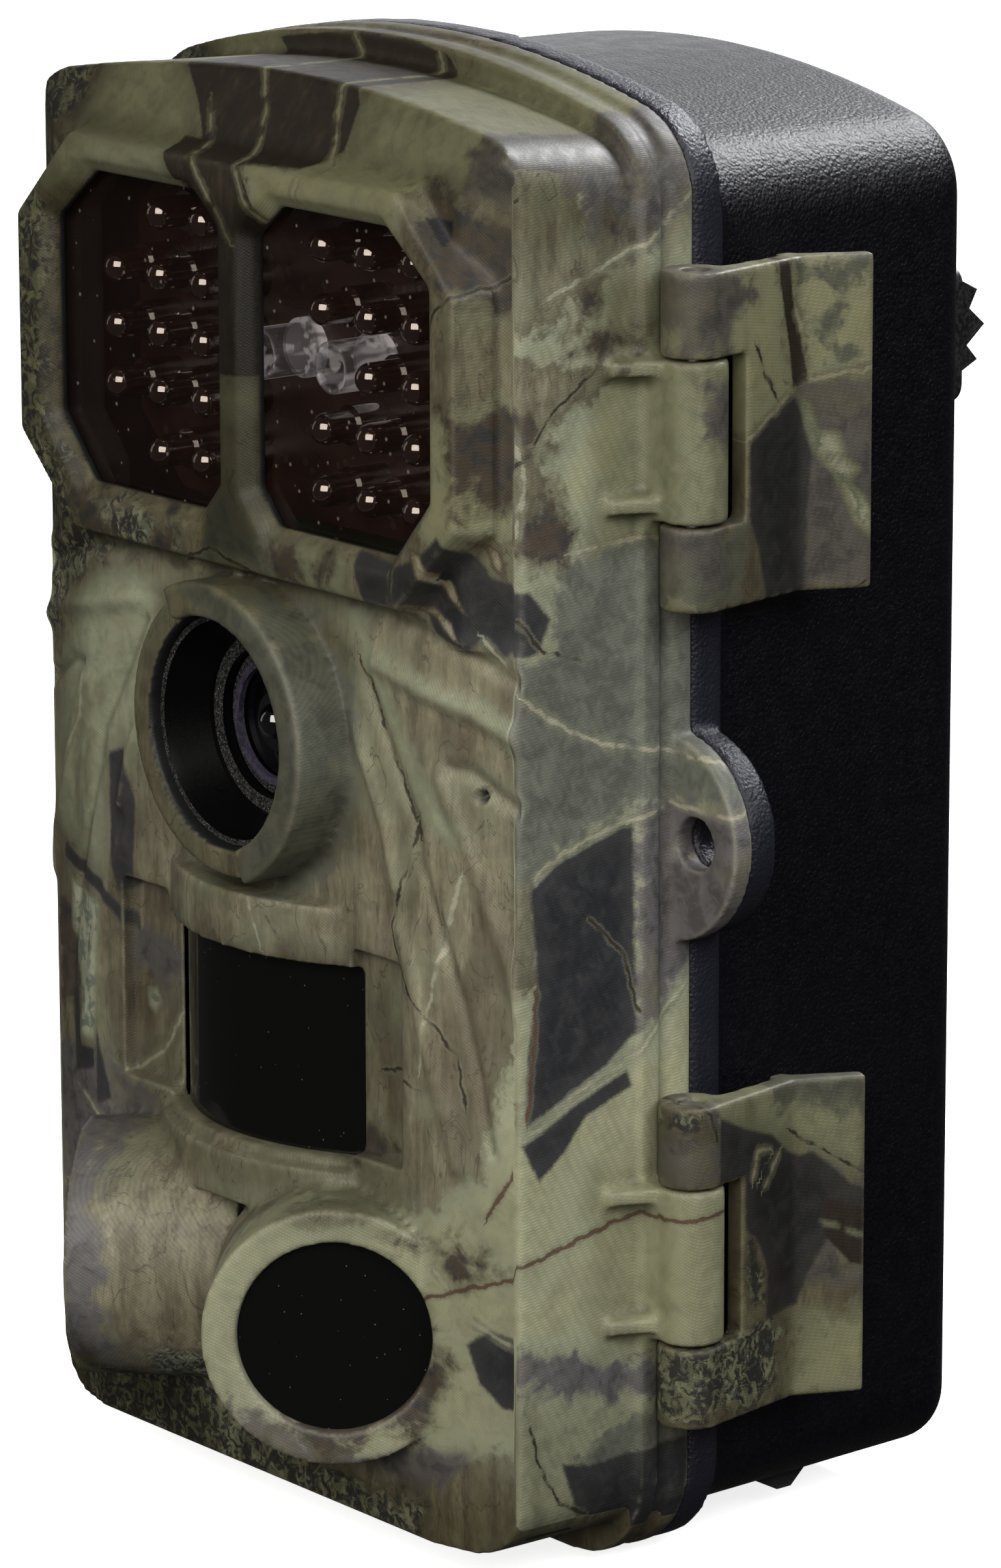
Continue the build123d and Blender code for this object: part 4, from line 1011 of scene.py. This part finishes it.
def board(name, mask, copper):
    """Circuit board: solder mask over fine tracks, with pads and tiny parts as raised dots."""
    g = Graph(name)
    where = g.place()
    tracks = g.add("ShaderNodeTexBrick", {"Vector": where, "Scale": 0.55, "Mortar Size": 0.035})
    line = g.minus(1.0, tracks.outputs["Fac"])
    pads = g.remap(g.cells(where, 0.45), 0.16, 0.20, 1.0, 0.0)
    tone = g.noise(where, 0.5, 3.0)
    shade = g.tinge(tone, 0.35, 0.65, mask, tuple(1.5 * c for c in mask))
    shade = g.mix(g.times(g.minus(1.0, line), 0.5), shade, tuple(2.2 * c for c in mask))
    shade = g.mix(pads, shade, copper)
    height = g.plus(pads, g.times(line, 0.3))
    gloss = g.remap(tone, 0.3, 0.7, 0.25, 0.42, False)
    return g.finish(shade, gloss, g.bump(height, 0.5, 0.05))


def cell_wrap(name):
    """Standard cell: dark foil wrap, a copper shoulder towards the raised end and bare steel ends."""
    g = Graph(name)
    where = g.place()
    axis = g.axes(where)
    row = g.math("FLOOR", g.math("DIVIDE", g.minus(axis["Z"], CELL_FLOOR), CELL_PITCH))
    side = g.minus(g.times(g.math("MODULO", row, 2.0), 2.0), 1.0)
    shoulder = g.remap(g.times(axis["X"], side), CELL_SHOULDER, CELL_SHOULDER + 0.15)
    steel = g.remap(g.math("ABSOLUTE", axis["X"]), CELL_END, CELL_END + 0.1)
    tone = g.noise(where, 0.10, 2.0)
    scuff = g.remap(g.noise(g.place((0.35, 1.6, 1.6)), 0.9, 3.0), 0.58, 0.68, 0.0, 0.22)
    foil = g.tinge(tone, 0.35, 0.65, (0.012, 0.013, 0.016), (0.022, 0.023, 0.027))
    foil = g.mix(shoulder, foil, (0.36, 0.17, 0.065))
    foil = g.mix(scuff, foil, (0.16, 0.15, 0.14))
    colour = g.mix(steel, foil, (0.58, 0.57, 0.55))
    shine = g.math("MAXIMUM", g.times(shoulder, 0.7), steel)
    gloss = g.remap(tone, 0.3, 0.7, 0.20, 0.32, False)
    normal = g.bump(g.noise(where, 0.35, 2.0), 0.12, 0.01)
    return g.finish(colour, gloss, normal, Metallic=shine)


def lamp_dark(name):
    """Near-black epoxy dome with a hard gloss and a faint red-brown depth."""
    g = Graph(name)
    where = g.place()
    tone = g.noise(where, 0.8, 2.0)
    shade = g.tinge(tone, 0.35, 0.65, (0.006, 0.003, 0.0025), (0.014, 0.007, 0.005))
    gloss = g.remap(tone, 0.3, 0.7, 0.03, 0.07, False)
    normal = g.bump(g.noise(where, 2.0), 0.1, 0.01)
    coat = {"Coat_Weight": 1.0, "Coat_Roughness": 0.03, "Coat_IOR": 2.4}
    return g.finish(shade, gloss, normal, Specular_IOR_Level=0.9, **coat)


def lamp_clear(name):
    """Water-clear cast lamp body whose rims, edges and mould marks carry painted light: an emission
    standing in for the glints they catch.
    """
    g = Graph(name)
    where = g.place()
    wave = g.bump(g.noise(where, 0.35, 2.0), 0.35, 0.10)
    rough = g.remap(g.noise(where, 1.4), 0.3, 0.7, 0.02, 0.08, False)
    gloss = g.add("ShaderNodeBsdfGlossy", {"Roughness": rough, "Normal": wave})
    through = g.add("ShaderNodeBsdfTransparent", {0: (0.62, 0.62, 0.64)})
    # Painted glints: an emission, strongest on the rims, edges and mould marks, makes the unlit lamp
    # shine.
    painted_glow = g.add("ShaderNodeEmission", {0: (0.90, 0.87, 0.88), "Strength": 0.55})
    facing = g.add("ShaderNodeLayerWeight", {"Blend": 0.40, "Normal": wave}).outputs["Facing"]
    marks = g.remap(g.noise(g.place((1.0, 0.25, 1.0)), 0.55, 2.0, 0.5), 0.50, 0.62, 0.0, 0.30)
    rim = g.remap(facing, 0.70, 0.98, 0.0, 0.55)
    edges = g.remap(g.geometry("Pointiness"), 0.52, 0.58, 0.05, 0.75)
    ring = g.times(edges, g.remap(marks, 0.0, 0.30, 0.25, 1.0))
    light = g.math("MAXIMUM", g.math("MAXIMUM", marks, rim), ring)
    body = g.blend(light, through.outputs[0], painted_glow.outputs[0])
    return g.done(g.blend(g.times(facing, 0.35), body, gloss.outputs[0]))


# ---- finishes of the CAD nodes ----

# Colour, roughness, grain and its depth, and for some the strength of the gloss.
MOULDED = {
    "black_part": ((0.010, 0.010, 0.011), 0.34, 2.2, 0.03),
    "plug": ((0.014, 0.014, 0.015), 0.55, 3.0, 0.02),
    "chip": ((0.014, 0.014, 0.015), 0.45, 3.0, 0.01),
    "lens_metal": ((0.034, 0.030, 0.052), 0.35, 3.0, 0.01, 0.5),
    "silicone": ((0.020, 0.020, 0.021), 0.6, 2.0, 0.02, 0.3),
    "button_grey": ((0.075, 0.075, 0.08), 0.55, 2.4, 0.02, 0.35),
    "switch_white": ((0.55, 0.55, 0.54), 0.45, 2.4, 0.01),
    "card_blue": ((0.012, 0.020, 0.050), 0.40, 2.4, 0.01),
}
METALS = {
    "steel": ((0.55, 0.55, 0.54), 0.30),
    "brass": ((0.62, 0.45, 0.20), 0.30),
    "nickel": ((0.62, 0.60, 0.56), 0.22),
}
WINDOWS = {
    "pir_black": ((0.004, 0.004, 0.004), 0.04, 0.6),
    "lens_glass": ((0.0015, 0.0015, 0.002), 0.02, 0.10),
    "screen_glass": ((0.008, 0.008, 0.011), 0.04, 0.2),
}
BOARDS = {
    "board_green": ((0.010, 0.042, 0.020), (0.45, 0.36, 0.16)),
    "board_black": ((0.010, 0.005, 0.004), (0.030, 0.022, 0.018)),
}
# The CAD nodes that don't take the finish of their material slot.
SPECIAL = {
    "lens_baffle": "lens_tube",
    "lens_barrel": "lens_tube",
    "lens_front_element": "front_glass",
    "power_plug": "plug",
    "front_shell": "black_part",
    "rear_shell": "black_part",
    "latch_lever_upper": "black_part",
    "latch_lever_lower": "black_part",
}


def fill_material(node, material):
    """Gives a whole CAD node one material."""
    piece = nodes[node]
    piece.data.materials.clear()
    piece.data.materials.append(material)
    for face in piece.data.polygons:
        face.material_index = 0


def dress_nodes():
    """Gives every CAD node its finish."""
    finishes = {"ir_filter": tinted("ir_filter", (0.93, 0.90, 0.88), (0.22, 0.09, 0.06), 0.013)}
    for make, looks in ((moulded, MOULDED), (metal, METALS), (glossy_black, WINDOWS), (board, BOARDS)):
        for name, look in looks.items():
            finishes[name] = make(name, *look)
    for make in (lens_tube, front_glass, lamp_dark, lamp_clear, cell_wrap):
        finishes[make.__name__] = make(make.__name__)
    for row in frame["record"]["subparts"]:
        fill_material(row["node"], finishes[SPECIAL.get(row["node"], row["material_slot"])])


# ---- stage ----
TARGET = Vector((9.152, -17.0, 67.83)) * MM  # the place the camera looks at
CAMERA_AZ = 50.74  # degrees
CAMERA_EL = 13.64
CAMERA_ROLL = -0.16
CAMERA_FAR = 0.66964  # metres from the target
SENSOR = 36.0  # mm
FOCAL_SHARE = 4.42151  # focal length over frame height
FLOOR_GAP = 0.0004  # between the object and the floor, metres
FLOOR_HALF = 6.0  # half the floor's width, metres


def direction(azimuth, elevation):
    """Unit vector towards a place round the object: azimuth 0 in front, 90 on its right-hand side."""
    a = math.radians(azimuth)
    e = math.radians(elevation)
    return Vector((math.sin(a) * math.cos(e), -math.cos(a) * math.cos(e), math.sin(e)))


def make_camera():
    """A long lens to the right of the front and a little above."""
    data = bpy.data.cameras.new("camera")
    data.sensor_fit = "VERTICAL"
    data.sensor_height = SENSOR
    data.sensor_width = SENSOR
    data.lens = SENSOR * FOCAL_SHARE
    data.clip_start = 0.05
    data.clip_end = 20.0
    camera = bpy.data.objects.new("camera", data)
    bpy.context.scene.collection.objects.link(camera)
    back = direction(CAMERA_AZ, CAMERA_EL)
    camera.location = TARGET + back * CAMERA_FAR
    roll = Matrix.Rotation(math.radians(CAMERA_ROLL), 3, "Z")
    camera.rotation_euler = ((-back).to_track_quat("-Z", "Y").to_matrix() @ roll).to_euler()
    bpy.context.scene.camera = camera


def softbox(name, azimuth, elevation, far, wide, tall, power, colour):
    """A rectangular lamp that faces the object."""
    data = bpy.data.lights.new(name, "AREA")
    data.shape = "RECTANGLE"
    data.size = wide
    data.size_y = tall
    data.energy = power
    data.color = colour
    lamp = bpy.data.objects.new(name, data)
    bpy.context.scene.collection.objects.link(lamp)
    out = direction(azimuth, elevation)
    lamp.location = TARGET + out * far
    lamp.rotation_euler = out.to_track_quat("Z", "Y").to_euler()


def make_world():
    """White behind the object; dim for the light it gives and dimmer still in reflections."""
    world = bpy.data.worlds.new("studio")
    bpy.context.scene.world = world
    world.use_nodes = True
    tree = world.node_tree
    tree.nodes.clear()
    path = tree.nodes.new("ShaderNodeLightPath")

    def background(strength, colour=(1.0, 0.985, 0.97, 1.0)):
        node = tree.nodes.new("ShaderNodeBackground")
        node.inputs["Color"].default_value = colour
        node.inputs["Strength"].default_value = strength
        return node

    def choose(ray, other, own):
        pick = tree.nodes.new("ShaderNodeMixShader")
        for socket, source in enumerate((path.outputs[ray], other.outputs[0], own.outputs[0])):
            tree.links.new(source, pick.inputs[socket])
        return pick

    unseen = choose("Is Glossy Ray", background(0.10), background(0.030))
    seen = choose("Is Camera Ray", unseen, background(1.0, (1.0, 1.0, 1.0, 1.0)))
    out = tree.nodes.new("ShaderNodeOutputWorld")
    tree.links.new(seen.outputs[0], out.inputs["Surface"])


def make_floor():
    """White paper just under the object, lit from within so that it stays pale."""
    low = cad_box[0].z - FLOOR_GAP
    mesh = bpy.data.meshes.new("floor")
    half = FLOOR_HALF
    corners = [(-half, -half, low), (half, -half, low), (half, half, low), (-half, half, low)]
    mesh.from_pydata(corners, [], [(0, 1, 2, 3)])
    floor = bpy.data.objects.new("floor", mesh)
    bpy.context.scene.collection.objects.link(floor)
    g = Graph("floor")
    paper = g.noise(g.place(), 0.02, 4.0)
    shade = g.tinge(paper, 0.3, 0.7, (0.93, 0.93, 0.93), (0.96, 0.96, 0.96))
    white = (1.0, 1.0, 1.0)
    shader = g.surface(Base_Color=shade, Roughness=0.9, Emission_Color=white, Emission_Strength=0.80)
    mesh.materials.append(g.done(shader))
    floor.visible_glossy = False
    floor.visible_diffuse = False


def make_lights():
    """Soft lamps: two on the right, two behind, and a weak one on the left."""
    softbox("key", 32.0, 27.0, 1.0, 0.95, 0.70, 9.5, (1.0, 0.97, 0.90))
    softbox("right", 92.0, 38.0, 1.0, 0.5, 0.5, 4.5, (0.94, 0.97, 1.0))
    softbox("back", -174.0, 45.0, 1.1, 0.45, 0.3, 16.0, (0.96, 0.97, 1.0))
    softbox("back_low", -129.0, 15.0, 1.2, 1.1, 0.5, 2.2, (0.96, 0.97, 1.0))
    softbox("left", -60.0, 15.0, 1.2, 0.4, 0.8, 0.6, (1.0, 0.96, 0.90))


def main():
    front_skin()
    lever_skin("latch_lever_upper", "lever_upper_skin", UPPER, "latch_upper")
    lever_skin("latch_lever_lower", "lever_lower_skin", LOWER, "latch_lower")
    rear_skin()
    dress_nodes()
    make_camera()
    make_world()
    make_floor()
    make_lights()
    bpy.context.scene.view_settings.view_transform = "Standard"


main()
